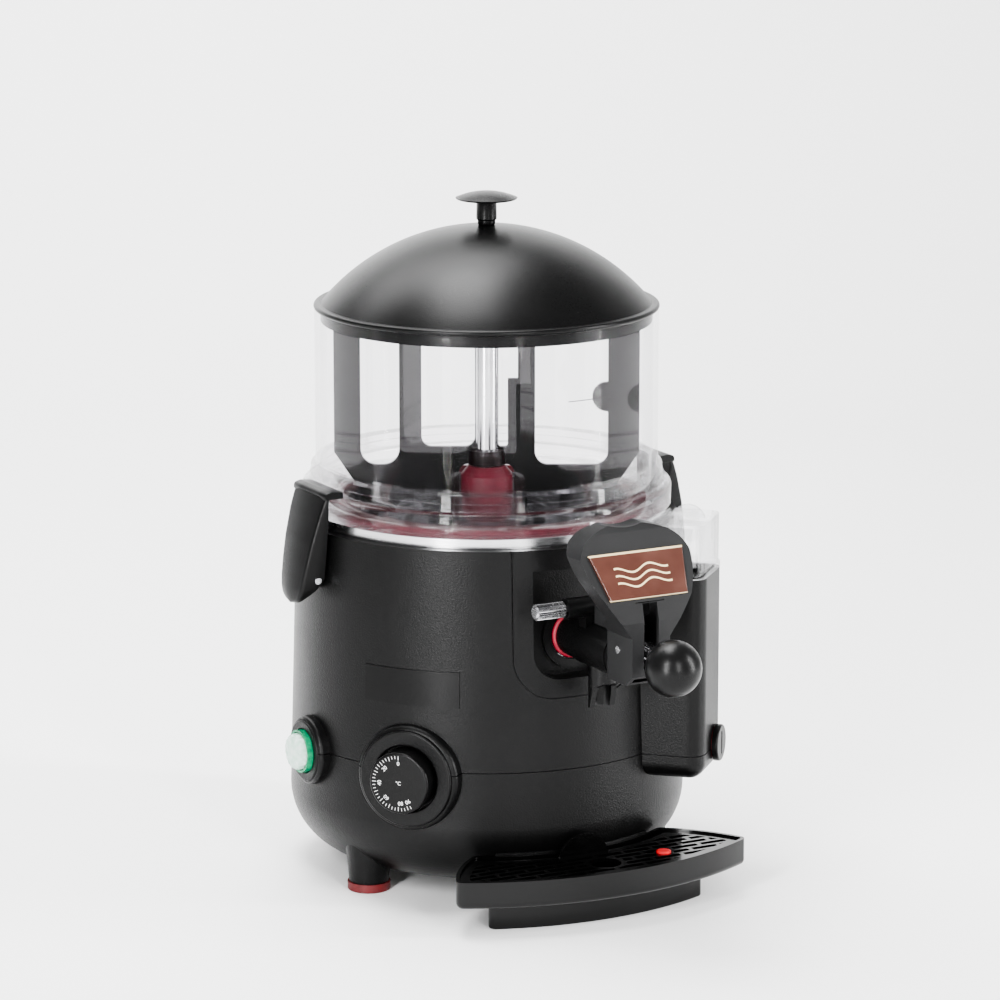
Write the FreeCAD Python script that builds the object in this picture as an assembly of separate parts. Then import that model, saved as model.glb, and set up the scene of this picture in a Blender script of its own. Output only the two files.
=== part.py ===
import FreeCAD, Part
import math
import os

os.makedirs("parts", exist_ok=True)

V = FreeCAD.Vector

# Overall sizes
total_height = 465.0
seam_z = 95.0
seam_gap = 0.5
fit_gap = 0.3
run_gap = 0.08

# Housings
body_wall = 3.0
bottom_z = 12.0
bottom_corner = 44.0
widest_r = 135.5
widest_z = bottom_z + bottom_corner
housing_top_z = 245.0
housing_top_r = 130.3
lip_inner_r = 117.5
seam_lip_height = 4.0
seam_lip_wall = 2.0

# Legs and pads
leg_circle_r = 113.0
leg_angles = (-163.5, 125.5, 54.5, -16.5)
leg_top_r = 18.0
leg_foot_r = 13.5
leg_top_z = 44.0
pad_r = 14.5
pad_height = 6.0

# Water filler box
box_angle = -45.0
box_reach = 165.5
box_side_low = -51.5
box_side_high = 4.0
box_bottom_z = 78.5
box_top_z = 217.0
box_corner = 11.0
cap_top_z = 254.0
cap_wall = 2.2
cap_flange_height = 4.0
plug_r = 12.5
plug_z = 97.0
plug_side = -14.0
plug_bore_r = 9.0

# Tank and pan
pan_top_z = 251.5
sheet = 1.5
pan_r = 98.0
pan_floor_z = 166.0
pan_rim_r = 123.5
pan_corner = 26.0
column_r = 13.0
column_bore_r = 9.6
column_top_z = 262.0
column_low_z = 118.0
tank_r = 114.5
tank_floor_z = 132.0
tank_corner = 12.0

# Bowl, lid and gasket
bowl_r = 116.8
bowl_wall = 3.6
flange_r = 126.0
flange_low_z = 252.0
flange_shoulder_z = 264.0
ring_step_z = 274.5
ring_top_z = 279.5
bowl_top_z = total_height - 79.0
bowl_floor_low_z = 255.5
bowl_mouth_r = 101.0
gasket_r = 109.0
lid_r = 117.3
lid_sheet = 2.2
lid_dome_r = 112.0
lid_rim_z = total_height - 75.4
lid_apex_z = total_height - 23.0
skirt_low_z = total_height - 87.2
knob_r = 21.0
knob_neck_r = 7.0
knob_rim_z = total_height - 5.5

# Drive and agitator
shaft_r = 7.8
shaft_top_z = total_height - 93.0
shaft_low_z = 96.0
hub_low_z = 277.5
hub_high_z = 287.5
hub_r = 12.5
plate_thick = 4.0
plate_turn = -28.5
plate_half = 104.0
plate_top_z = total_height - 91.0
plate_low_z = 254.0
blade_low_z = 176.0
blade_half = 86.0
seal_r = 17.6
seal_top_z = 276.6

# Latches
latch_half_width = 17.0
latch_pin_x = 137.5
latch_pin_z = 214.0
latch_pin_r = 2.4
latch_wall = 3.0
latch_top_z = 273.0
ear_gap = 12.0

# Tap
tap_z = 184.0
barrel_r = 14.5
barrel_bore_r = 11.0
barrel_front_y = -190.0
tap_flange_y = -123.0
step_ring_y = -141.0
spigot_r = 12.2
spigot_back_y = -100.0
outlet_r = 16.0
pocket_y = -118.5
pocket_half = 34.0
pocket_low_z = 157.0
frame_half = 48.0
frame_low_z = 144.0
boss_r = 23.0
spout_y = -160.0
spout_r = 9.5
spout_bore_r = 5.6
spout_low_z = 143.0
piston_back_y = -151.0
pivot_y = -204.0
pivot_z = 193.0
pivot_r = 2.5
crank_z = 177.0
crank_pin_r = 2.5
crank_play = 0.9
rod_front_y = -188.5
crank_half = 4.8
ball_y = -250.7
ball_z = 189.0
ball_r = 18.5
lever_r = 4.0
slot_half = 5.4
slot_low_z = 182.5
slot_high_z = 226.0
nose_front_y = -222.4
label_low_y = -219.5
label_low_z = 228.5
label_high_y = -200.0
label_high_z = 256.5
label_top_half = 35.0
label_low_half = 28.6
nose_half = 14.0
nose_low_z = 171.0
cheek = 3.0
shield_half = 40.5
shield_top_z = 272.5
screw_y = -150.0
screw_z = 209.5
screw_r = 5.4
lug_r = 7.0

# Thermostat
dial_angle = -141.0
dial_z = 90.5
dial_collar_r = 33.0
dial_knob_r = 21.0
spindle_r = 3.0
hood_root = widest_r - 16.0
dial_seat_reach = widest_r - 2.0
dial_back_reach = widest_r + 1.1
dial_hood_reach = widest_r + 4.0
dial_collar_reach = widest_r + 6.0
dial_face_reach = widest_r + 17.5

# Switch
switch_z = 93.0
switch_collar_r = 21.0
switch_bore_r = 14.6
switch_button_r = 12.5
switch_seat_reach = widest_r + 1.5
switch_hood_reach = widest_r + 5.0
switch_collar_reach = widest_r + 6.0
switch_bezel_reach = widest_r + 9.5
switch_reach = widest_r + 15.5

# Bare plate on the wall above the dial
name_half = 34.0
name_low_z = 139.5
name_high_z = 163.5

# Rear cable gland
gland_z = 52.0
gland_end_y = 141.0

# Motor fixing
screw_circle_r = 54.0
screw_turn = 45.0

# Drip tray
tray_half = 111.0
tray_end_y = -163.0
tray_front_y = -192.0
tray_rear_r = 121.0
tray_rim_z = 38.5
tray_wall = 2.5
foot_inset = 20.0
body_clear_r = 133.5
grid_z = 34.5
grid_thick = 2.6
grid_setback = 4.5
float_x = 46.0
float_y = -163.0
float_r = 3.6
drain_hole_r = 10.5
drain_hole_y = -165.0


# General helpers

def polar(radius, angle, z):
    turn = math.radians(angle)
    return V(radius * math.cos(turn), radius * math.sin(turn), z)


def cylinder(radius, start, end):
    along = end.sub(start)
    return Part.makeCylinder(radius, along.Length, start, along)


def tube(outer_r, inner_r, start, end):
    return cylinder(outer_r, start, end).cut(cylinder(inner_r, start, end))


def disc(radius, low, high, x=0.0, y=0.0):
    return cylinder(radius, V(x, y, low), V(x, y, high))


def block(low, high):
    size = V(*high).sub(V(*low))
    return Part.makeBox(size.x, size.y, size.z, V(*low))


def revolve(points):
    face = Part.Face(Part.makePolygon([V(r, 0, z) for r, z in points + points[:1]]))
    return face.revolve(V(0, 0, 0), V(0, 0, 1), 360)


def revolve_edges(edges):
    face = Part.Face(Part.Wire(edges))
    return face.revolve(V(0, 0, 0), V(0, 0, 1), 360)


def line(a, b):
    return Part.makeLine(V(a[0], 0, a[1]), V(b[0], 0, b[1]))


def arc(a, mid, b):
    return Part.Arc(V(a[0], 0, a[1]), V(mid[0], 0, mid[1]), V(b[0], 0, b[1])).toShape()


def fillet_near(shape, radius, test):
    edges = [edge for edge in shape.Edges if test(edge)]
    return shape.makeFillet(radius, edges) if edges else shape


def turned(shape, angle):
    copy = shape.copy()
    copy.rotate(V(0, 0, 0), V(0, 0, 1), angle)
    return copy


def mirrored_x(shape):
    return shape.mirror(V(0, 0, 0), V(1, 0, 0))


def outline_prism(points, axis, low, high):
    # points are (x, z) pairs for axis y, (y, z) pairs for axis x, (x, y) pairs for axis z
    if axis == "y":
        corners = [V(a, low, b) for a, b in points]
        along = V(0, high - low, 0)
    elif axis == "x":
        corners = [V(low, a, b) for a, b in points]
        along = V(high - low, 0, 0)
    else:
        corners = [V(a, b, low) for a, b in points]
        along = V(0, 0, high - low)
    return Part.Face(Part.makePolygon(corners + corners[:1])).extrude(along)


def save(name, shape):
    solids = shape.Solids
    body = solids[0] if len(solids) == 1 else Part.makeCompound(solids)
    body.exportStep("parts/" + name + ".step")
    volume = sum(solid.Volume for solid in solids)
    print(name, len(solids), round(volume / 1000.0, 2), all(solid.isValid() for solid in solids))


# Housing

def body_radius(z):
    share = (z - widest_z) / (housing_top_z - widest_z)
    return widest_r + share * (housing_top_r - widest_r)


def body_form(inset, low, top):
    # The rounded pot of the housing, moved in by the inset
    corner_r = bottom_corner - inset
    base_r = widest_r - bottom_corner
    lowest = bottom_z + inset
    middle = math.radians(45.0)
    corner_mid = (base_r + corner_r * math.sin(middle), widest_z - corner_r * math.cos(middle))
    wide = (widest_r - inset, widest_z)
    edges = [line((0, lowest), (base_r, lowest))]
    edges.append(arc((base_r, lowest), corner_mid, wide))
    edges.append(line(wide, (body_radius(top) - inset, top)))
    edges.append(line((body_radius(top) - inset, top), (0, top)))
    edges.append(line((0, top), (0, lowest)))
    pot = revolve_edges(edges)
    return pot.common(disc(300, low, top))


def box_form(inset, top):
    # The filler box, drawn along +X and turned to its place
    low = V(90.0, box_side_low + inset, box_bottom_z + inset)
    high = V(box_reach - inset, box_side_high - inset, top)
    shape = Part.makeBox(high.x - low.x, high.y - low.y, high.z - low.z, low)
    corner = box_corner - inset

    def outer_upright(edge):
        ends = [vertex.Point for vertex in edge.Vertexes]
        upright = abs(ends[0].z - ends[1].z) > 50
        return upright and min(ends[0].x, ends[1].x) > box_reach - inset - 1

    def outer_low(edge):
        ends = [vertex.Point for vertex in edge.Vertexes]
        return max(ends[0].z, ends[1].z) < low.z + 0.1 and min(ends[0].x, ends[1].x) > 100

    shape = fillet_near(shape, corner, outer_upright)
    shape = fillet_near(shape, corner, outer_low)
    return turned(shape, box_angle)


def leg(angle):
    centre = polar(leg_circle_r, angle, 0)
    foot = Part.Wire(Part.makeCircle(leg_foot_r, V(centre.x, centre.y, pad_height)))
    upper = Part.Wire(Part.makeCircle(leg_top_r, V(centre.x, centre.y, leg_top_z)))
    waist = Part.Wire(Part.makeCircle(leg_foot_r + 1.2, V(centre.x, centre.y, 20.0)))
    return Part.makeLoft([foot, waist, upper], True)


def box_point(reach, side, z):
    turn = math.radians(box_angle)
    x = reach * math.cos(turn) - side * math.sin(turn)
    y = reach * math.sin(turn) + side * math.cos(turn)
    return V(x, y, z)


def dial_point(reach, z=dial_z):
    return polar(reach, dial_angle, z)


def lamp_point(reach):
    return V(-reach, 0, switch_z)


def pocket_cut():
    # A flat backed pocket with rounded low corners, open at the front
    width = pocket_half
    corner = 18.0
    high = housing_top_z - 14.0
    low = block((-width, -200, pocket_low_z), (width, pocket_y, high))

    def low_corner(edge):
        ends = [vertex.Point for vertex in edge.Vertexes]
        flat = abs(ends[0].z - ends[1].z) < 0.1 and abs(ends[0].x - ends[1].x) < 0.1
        return flat and ends[0].z < pocket_low_z + 0.1

    return fillet_near(low, corner, low_corner)


def frame_groove():
    # The shallow U shaped line round the tap
    depth = 1.0
    wide = 1.1

    def u_form(half, low, corner):
        shape = block((-half, -200, low), (half, -90, housing_top_z + 5))

        def low_corner(edge):
            ends = [vertex.Point for vertex in edge.Vertexes]
            flat = abs(ends[0].z - ends[1].z) < 0.1 and abs(ends[0].x - ends[1].x) < 0.1
            return flat and ends[0].z < low + 0.1

        return fillet_near(shape, corner, low_corner)

    ring = u_form(frame_half, frame_low_z, 28.0).cut(u_form(frame_half - wide, frame_low_z + wide, 27.0))
    skin = body_form(-1, 120, housing_top_z).cut(body_form(depth, 100, housing_top_z + 4))
    return ring.common(skin)


def housings():
    outer = body_form(0, bottom_z, housing_top_z).fuse(box_form(0, box_top_z))
    inner = body_form(body_wall, bottom_z, housing_top_z - body_wall)
    inner = inner.fuse(box_form(body_wall, box_top_z + 1).cut(disc(110, 0, 400)))
    pocket = pocket_cut()
    # The pocket's back keeps its wall behind it
    grown = block((-pocket_half - body_wall, -200, pocket_low_z - body_wall),
                  (pocket_half + body_wall, pocket_y + body_wall, housing_top_z - 11))
    inner = inner.cut(grown)
    shell = outer.cut(pocket).cut(inner)
    shell = shell.cut(disc(lip_inner_r, housing_top_z - 20, housing_top_z + 5))
    tap_hole = cylinder(outlet_r + 1.2, V(0, -90, tap_z), V(0, -140, tap_z))
    boss = cylinder(boss_r, V(0, pocket_y + 1, tap_z), V(0, pocket_y - 2.5, tap_z))
    shell = shell.fuse(boss).cut(tap_hole).cut(frame_groove())
    upper = shell.common(disc(300, seam_z + seam_gap, 400))
    lower = shell.common(disc(300, 0, seam_z))
    return upper.removeSplitter(), lower.removeSplitter()


def switch_holes(shape):
    dial_hole = cylinder(12.0, dial_point(100), dial_point(160))
    lamp_hole = cylinder(switch_bore_r + 1.2, V(-110, 0, switch_z), V(-170, 0, switch_z))
    plug_end = box_point(190, plug_side, plug_z)
    plug_hole = cylinder(plug_bore_r + 0.6, box_point(130, plug_side, plug_z), plug_end)
    return shape.cut(dial_hole).cut(lamp_hole).cut(plug_hole)


def finish_housings(upper, lower):
    keep = body_form(body_wall, bottom_z, housing_top_z)
    # Round moulded collars stand out of the wall round the dial and the switch
    dial_hood = cylinder(dial_collar_r + 3.0, dial_point(hood_root), dial_point(dial_hood_reach))
    dial_rim = dial_point(dial_hood_reach - 1.5).Length
    dial_hood = fillet_near(dial_hood, 4.0, lambda e: e.CenterOfMass.Length > dial_rim)
    dial_seat = cylinder(dial_collar_r, dial_point(dial_seat_reach), dial_point(dial_face_reach))
    dial_hood = dial_hood.cut(dial_seat)
    lamp_hood = cylinder(switch_collar_r + 2.5, lamp_point(hood_root), lamp_point(switch_hood_reach))
    lamp_hood = fillet_near(lamp_hood, 3.0, lambda e: e.CenterOfMass.x < 0.5 - switch_hood_reach)
    lamp_seat = cylinder(switch_collar_r, lamp_point(switch_seat_reach), lamp_point(switch_reach))
    lamp_hood = lamp_hood.cut(lamp_seat)
    hoods = dial_hood.fuse(lamp_hood).cut(keep)
    above = disc(300, seam_z + seam_gap, 400)
    below = disc(300, 0, seam_z)
    upper = upper.fuse(hoods.common(above))
    lower = lower.fuse(hoods.common(below))
    lower = lower.fuse(seam_lip())
    inner = body_form(body_wall, bottom_z, housing_top_z)
    for angle in leg_angles:
        lower = lower.fuse(leg(angle).cut(inner))
    upper = switch_holes(upper)
    lower = switch_holes(lower)
    upper = upper.fuse(latch_ears())
    lower = lower.cut(cylinder(9.0, V(0, 100, gland_z), V(0, 150, gland_z)))
    upper = upper.cut(latch_pins())
    return upper.removeSplitter(), lower.removeSplitter()


def seam_lip():
    outer_r = body_radius(seam_z) - body_wall
    low = revolve([(outer_r + 0.4, seam_z - 8), (outer_r + 0.4, seam_z - 0.5),
                   (outer_r - fit_gap, seam_z - 0.5), (outer_r - fit_gap, seam_z + seam_lip_height),
                   (outer_r - seam_lip_wall, seam_z + seam_lip_height), (outer_r - seam_lip_wall, seam_z - 6)])
    return low.cut(box_form(body_wall, box_top_z))


def latch_ears():
    # Two ears on each side carry the latch pin
    ears = []
    for sign in (1, -1):
        for side in (1, -1):
            low_y = side * (ear_gap / 2.0)
            high_y = side * (ear_gap / 2.0 + 4.0)
            y0 = min(low_y, high_y)
            ear = block((127.0, y0, latch_pin_z - 6), (latch_pin_x, y0 + 4.0, latch_pin_z + 6))
            ear = ear.fuse(cylinder(6.0, V(latch_pin_x, y0, latch_pin_z), V(latch_pin_x, y0 + 4.0, latch_pin_z)))
            ear = ear.cut(cylinder(latch_pin_r, V(latch_pin_x, y0 - 1, latch_pin_z),
                                   V(latch_pin_x, y0 + 5.0, latch_pin_z)))
            ears.append(ear if sign == 1 else mirrored_x(ear))
    joined = ears[0].multiFuse(ears[1:])
    return joined.cut(body_form(body_wall, 100, housing_top_z))


# Tank and pan

def water_tank():
    inner_r = tank_r - sheet
    low = tank_floor_z
    rim_low = housing_top_z
    cup = revolve([(0, low), (tank_r - tank_corner, low), (tank_r, low + tank_corner), (tank_r, rim_low),
                   (pan_rim_r - sheet - fit_gap, rim_low), (pan_rim_r - sheet - fit_gap, rim_low + sheet),
                   (inner_r, rim_low + sheet), (inner_r, low + tank_corner + 0.6),
                   (inner_r - tank_corner + 0.6, low + sheet), (0, low + sheet)])
    cup = cup.cut(disc(column_r + 3.0, low - 1, low + 3))
    outlet_hole = cylinder(outlet_r + fit_gap, V(0, -90, tap_z), V(0, -130, tap_z))
    fill_hole = cylinder(11.0, box_point(95, box_side_low + 27, 180), box_point(130, box_side_low + 27, 180))
    return cup.cut(outlet_hole).cut(fill_hole)


def tank_seal():
    low = tank_floor_z
    ring = revolve([(column_r + 0.02, low - 2), (column_r + 6, low - 2), (column_r + 6, low - 0.02),
                    (column_r + 2.9, low - 0.02), (column_r + 2.9, low + sheet + 0.02),
                    (column_r + 6, low + sheet + 0.02), (column_r + 4, low + sheet + 3),
                    (column_r + 0.02, low + sheet + 3)])
    return ring


def product_pan():
    inner_r = pan_r - sheet
    floor = pan_floor_z
    corner = pan_corner
    half = math.radians(45.0)
    outer_c = (pan_r - corner, floor + corner)
    reach = corner - sheet
    outer_mid = (outer_c[0] + corner * math.cos(half), outer_c[1] - corner * math.sin(half))
    inner_mid = (outer_c[0] + reach * math.cos(half), outer_c[1] - reach * math.sin(half))
    top = pan_top_z
    rim_in = pan_rim_r - sheet
    rim_low = housing_top_z + fit_gap
    edges = [line((column_r, floor), (pan_r - corner, floor))]
    edges.append(arc((pan_r - corner, floor), outer_mid, (pan_r, floor + corner)))
    edges.append(line((pan_r, floor + corner), (pan_r, top - sheet)))
    edges.append(line((pan_r, top - sheet), (rim_in, top - sheet)))
    edges.append(line((rim_in, top - sheet), (rim_in, rim_low)))
    edges.append(line((rim_in, rim_low), (pan_rim_r, rim_low)))
    edges.append(line((pan_rim_r, rim_low), (pan_rim_r, top)))
    edges.append(line((pan_rim_r, top), (inner_r, top)))
    edges.append(line((inner_r, top), (inner_r, floor + corner)))
    edges.append(arc((inner_r, floor + corner), inner_mid, (pan_r - corner, floor + sheet)))
    edges.append(line((pan_r - corner, floor + sheet), (column_r, floor + sheet)))
    edges.append(line((column_r, floor + sheet), (column_r, column_top_z)))
    edges.append(line((column_r, column_top_z), (column_bore_r, column_top_z)))
    edges.append(line((column_bore_r, column_top_z), (column_bore_r, column_low_z)))
    edges.append(line((column_bore_r, column_low_z), (column_r, column_low_z)))
    edges.append(line((column_r, column_low_z), (column_r, floor)))
    pan = revolve_edges(edges)
    outlet = cylinder(outlet_r, V(0, -pan_r + 6, tap_z), V(0, pocket_y + fit_gap, tap_z))
    outlet = outlet.cut(disc(inner_r, 100, 300))
    bore = cylinder(spigot_r + run_gap / 2, V(0, -80, tap_z), V(0, -130, tap_z))
    return pan.fuse(outlet).cut(bore).removeSplitter()


def shaft_bushes():
    bushes = []
    for low in (column_low_z + 2, column_top_z - 16):
        bushes.append(tube(column_bore_r - 0.01, shaft_r + run_gap, V(0, 0, low), V(0, 0, low + 12)))
    return Part.makeCompound(bushes)


def heating_element():
    ring_r = 80.0
    rod_r = 4.0
    low = tank_floor_z + sheet + 9.0
    ring = Part.makeTorus(ring_r, rod_r, V(0, 0, low), V(0, 0, 1), 0, 360, 320)
    ring.rotate(V(0, 0, 0), V(0, 0, 1), 110)
    ends = []
    for angle in (110, 70):
        foot = polar(ring_r, angle, 0)
        ends.append(disc(rod_r, tank_floor_z + sheet, low, foot.x, foot.y))
        ends.append(Part.makeSphere(rod_r, V(foot.x, foot.y, low)))
    return ring.multiFuse(ends)


def shaft_seal():
    skirt_r = seal_r
    top = seal_top_z
    return revolve([(column_r + fit_gap, column_top_z - 22), (skirt_r - 1.5, column_top_z - 22),
                    (skirt_r, column_top_z - 4), (skirt_r, top - 6), (skirt_r - 5, top),
                    (shaft_r + run_gap, top), (shaft_r + run_gap, column_top_z + 1),
                    (column_r + fit_gap, column_top_z + 1)])


# Bowl and lid

def pan_gasket():
    low = pan_top_z
    high = bowl_floor_low_z
    return revolve([(bowl_mouth_r - 2, low), (gasket_r, low), (gasket_r, high),
                    (bowl_mouth_r - 2, high)])


def bowl():
    inner_r = bowl_r - bowl_wall
    shoulder = 5.0
    half = math.radians(45.0)
    centre = (flange_r - shoulder, flange_shoulder_z)
    mid = (centre[0] + shoulder * math.cos(half), centre[1] + shoulder * math.sin(half))
    edges = [line((gasket_r + 2, flange_low_z), (flange_r, flange_low_z))]
    edges.append(line((flange_r, flange_low_z), (flange_r, flange_shoulder_z)))
    edges.append(arc((flange_r, flange_shoulder_z), mid, (centre[0], flange_shoulder_z + shoulder)))
    chain = [(centre[0], flange_shoulder_z + shoulder), (centre[0], ring_step_z),
             (bowl_r + 2.7, ring_step_z + 1), (bowl_r + 2.7, ring_top_z), (bowl_r, ring_top_z + 3),
             (bowl_r, bowl_top_z), (inner_r, bowl_top_z), (inner_r, flange_shoulder_z + 4)]
    chain += [(inner_r - 4, flange_shoulder_z), (bowl_mouth_r, flange_shoulder_z - 2)]
    chain += [(bowl_mouth_r, bowl_floor_low_z), (gasket_r + 2, bowl_floor_low_z)]
    chain += [(gasket_r + 2, flange_low_z)]
    for start, end in zip(chain[:-1], chain[1:]):
        edges.append(line(start, end))
    return revolve_edges(edges)


def dome_mid(edge_r, low, high):
    rise = high - low
    radius = (edge_r * edge_r + rise * rise) / (2.0 * rise)
    half_angle = math.asin(edge_r / radius) / 2.0
    return (radius * math.sin(half_angle), high - radius + radius * math.cos(half_angle))


def lid():
    rim = lid_rim_z
    apex = lid_apex_z
    under = rim - lid_sheet
    skirt_r = bowl_r - bowl_wall - fit_gap - 0.4
    bead_low = bowl_top_z + 0.05
    dome_in = lid_dome_r - 2.6
    edges = [arc((0, apex), dome_mid(lid_dome_r, rim, apex), (lid_dome_r, rim))]
    edges.append(line((lid_dome_r, rim), (lid_r - 1.4, rim)))
    edges.append(arc((lid_r - 1.4, rim), (lid_r, (rim + bead_low) / 2), (lid_r - 1.4, bead_low)))
    edges.append(line((lid_r - 1.4, bead_low), (skirt_r, bead_low)))
    edges.append(line((skirt_r, bead_low), (skirt_r, skirt_low_z)))
    edges.append(line((skirt_r, skirt_low_z), (skirt_r - lid_sheet, skirt_low_z)))
    edges.append(line((skirt_r - lid_sheet, skirt_low_z), (skirt_r - lid_sheet, under)))
    edges.append(line((skirt_r - lid_sheet, under), (dome_in, under)))
    low_apex = apex - lid_sheet
    edges.append(arc((dome_in, under), dome_mid(dome_in, under, low_apex), (0, low_apex)))
    edges.append(line((0, low_apex), (0, apex)))
    shape = revolve_edges(edges)
    return shape.cut(disc(2.2, low_apex - 2, apex + 1))


def lid_knob():
    top = total_height
    rim = knob_rim_z
    seat = lid_apex_z
    foot_r = knob_neck_r - 1.2
    edges = [line((0, seat), (foot_r, seat)), line((foot_r, seat), (knob_neck_r, seat + 4))]
    edges.append(line((knob_neck_r, seat + 4), (knob_neck_r, rim - 2)))
    edges.append(line((knob_neck_r, rim - 2), (knob_r - 1, rim)))
    edges.append(arc((knob_r - 1, rim), (knob_r, rim + 0.9), (knob_r - 1.2, rim + 1.6)))
    edges.append(arc((knob_r - 1.2, rim + 1.6), dome_mid(knob_r - 1.2, rim + 1.6, top), (0, top)))
    edges.append(line((0, top), (0, seat)))
    return revolve_edges(edges).cut(disc(2.0, seat - 1, seat + 11))


def knob_screw():
    low = lid_apex_z - lid_sheet
    head = disc(4.5, low - 2.8, low - 0.12)
    stem = disc(1.95, low - 1, lid_apex_z + 10)
    slot = block((-5, -0.5, low - 3), (5, 0.5, low - 1.8))
    return head.fuse(stem).cut(slot)


# Drive and agitator

def drive_shaft():
    shaft = disc(shaft_r, shaft_low_z, shaft_top_z)
    shaft = fillet_near(shaft, 1.5, lambda e: e.CenterOfMass.z > shaft_top_z - 0.1)
    flat = block((shaft_r - 1.4, -10, shaft_low_z - 1), (shaft_r + 1, 10, shaft_low_z + 14))
    return shaft.cut(flat)


def window(left, right, low, high, corner):
    shape = block((left, -10, low), (right, 10, high))

    def low_corner(edge):
        ends = [vertex.Point for vertex in edge.Vertexes]
        level = abs(ends[0].z - ends[1].z) < 0.1 and abs(ends[0].x - ends[1].x) < 0.1
        return level and ends[0].z < low + 0.1

    return fillet_near(shape, corner, low_corner)


def agitator():
    # A flat paddle with two blades that dip into the pan, drawn along X and turned
    half = plate_half
    top = plate_top_z
    low = plate_low_z
    dip = blade_low_z
    corner = [(-half, 286), (-half, top), (half, top), (half, 286), (half - 16, 262),
              (blade_half, low + 2), (blade_half, dip + 18), (blade_half - 16, dip), (40, dip),
              (32, dip + 12), (32, low - 12), (-32, low - 12), (-32, dip + 12), (-40, dip),
              (16 - blade_half, dip), (-blade_half, dip + 18), (-blade_half, low + 2), (16 - half, 262)]
    plate = outline_prism(corner, "y", -plate_thick / 2, plate_thick / 2)
    high = top + 10
    gap = shaft_r + 0.1
    cuts = [window(-86, -59.5, 276.8, high, 11), window(-44.4, -gap, 289.4, high, 7)]
    cuts.append(window(gap, 14.4, 289.4, high, 2))
    cuts.append(window(32.9, 82.7, 276.8, high, 9))
    cuts.append(block((gap, -10, 336.5), (21.3, 10, high)))
    cuts.append(window(-74, -40, 190, low - 10, 8))
    cuts.append(window(40, 74, 190, low - 10, 8))
    notch = cylinder(9.6, V(-52.4, -10, low - 10), V(-52.4, 10, low - 10))
    slot_half = seal_r + 1.2
    centre = block((-slot_half, -10, dip - 5), (slot_half, 10, hub_low_z - 6))
    arch = cylinder(6, V(slot_half - 6, -10, hub_low_z - 6), V(slot_half - 6, 10, hub_low_z - 6))
    centre = centre.fuse(arch).fuse(mirrored_x(arch))
    centre = centre.fuse(block((6 - slot_half, -10, hub_low_z - 7), (slot_half - 6, 10, hub_low_z)))
    for cut in cuts + [notch, centre]:
        plate = plate.cut(cut)
    bump = cylinder(10.0, V(82.0, -plate_thick / 2, 324), V(82.0, plate_thick / 2, 324))
    plate = plate.fuse(bump)
    hub = disc(hub_r, hub_low_z, hub_high_z)
    bridge = block((-slot_half - 2, -plate_thick / 2, hub_low_z), (slot_half + 2, plate_thick / 2, hub_high_z))
    plate = plate.fuse(bridge).fuse(hub).cut(disc(shaft_r, hub_low_z - 30, high))
    tapped = cylinder(1.6, V(0, 0, (hub_low_z + hub_high_z) / 2), V(0, 20, (hub_low_z + hub_high_z) / 2))
    return turned(plate.cut(tapped).removeSplitter(), plate_turn)


def collar_screw():
    start = V(hub_r + 2.2, 0, (hub_low_z + hub_high_z) / 2)
    end = V(shaft_r, 0, start.z)
    screw = cylinder(2.5, V(hub_r, 0, start.z), start).fuse(cylinder(1.6, end, start))
    return turned(screw, plate_turn + 90)


def gear_motor():
    body = disc(34, 34, 70)
    gearbox = disc(38, 70, 92)
    gearbox = gearbox.fuse(disc(14, 92, shaft_low_z - 2))
    cap = fillet_near(body, 4.0, lambda e: e.CenterOfMass.z < 35)
    motor = cap.fuse(gearbox)
    socket = disc(shaft_r + 6, shaft_low_z - 2, shaft_low_z + 12).cut(disc(shaft_r, shaft_low_z, 200))
    fins = [turned(block((30, -1, 40), (36.5, 1, 70)), step * 30) for step in range(12)]
    return motor.multiFuse(fins), socket


def motor_bracket():
    plate_low = 66.8
    plate = disc(62, plate_low, plate_low + 3.0).cut(disc(37.0, 60, 100))
    posts = []
    for step in range(4):
        foot = polar(screw_circle_r, screw_turn + 90 * step, 0)
        posts.append(disc(5.0, bottom_z + body_wall, plate_low, foot.x, foot.y))
    return plate.multiFuse(posts)


# Latches

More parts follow.
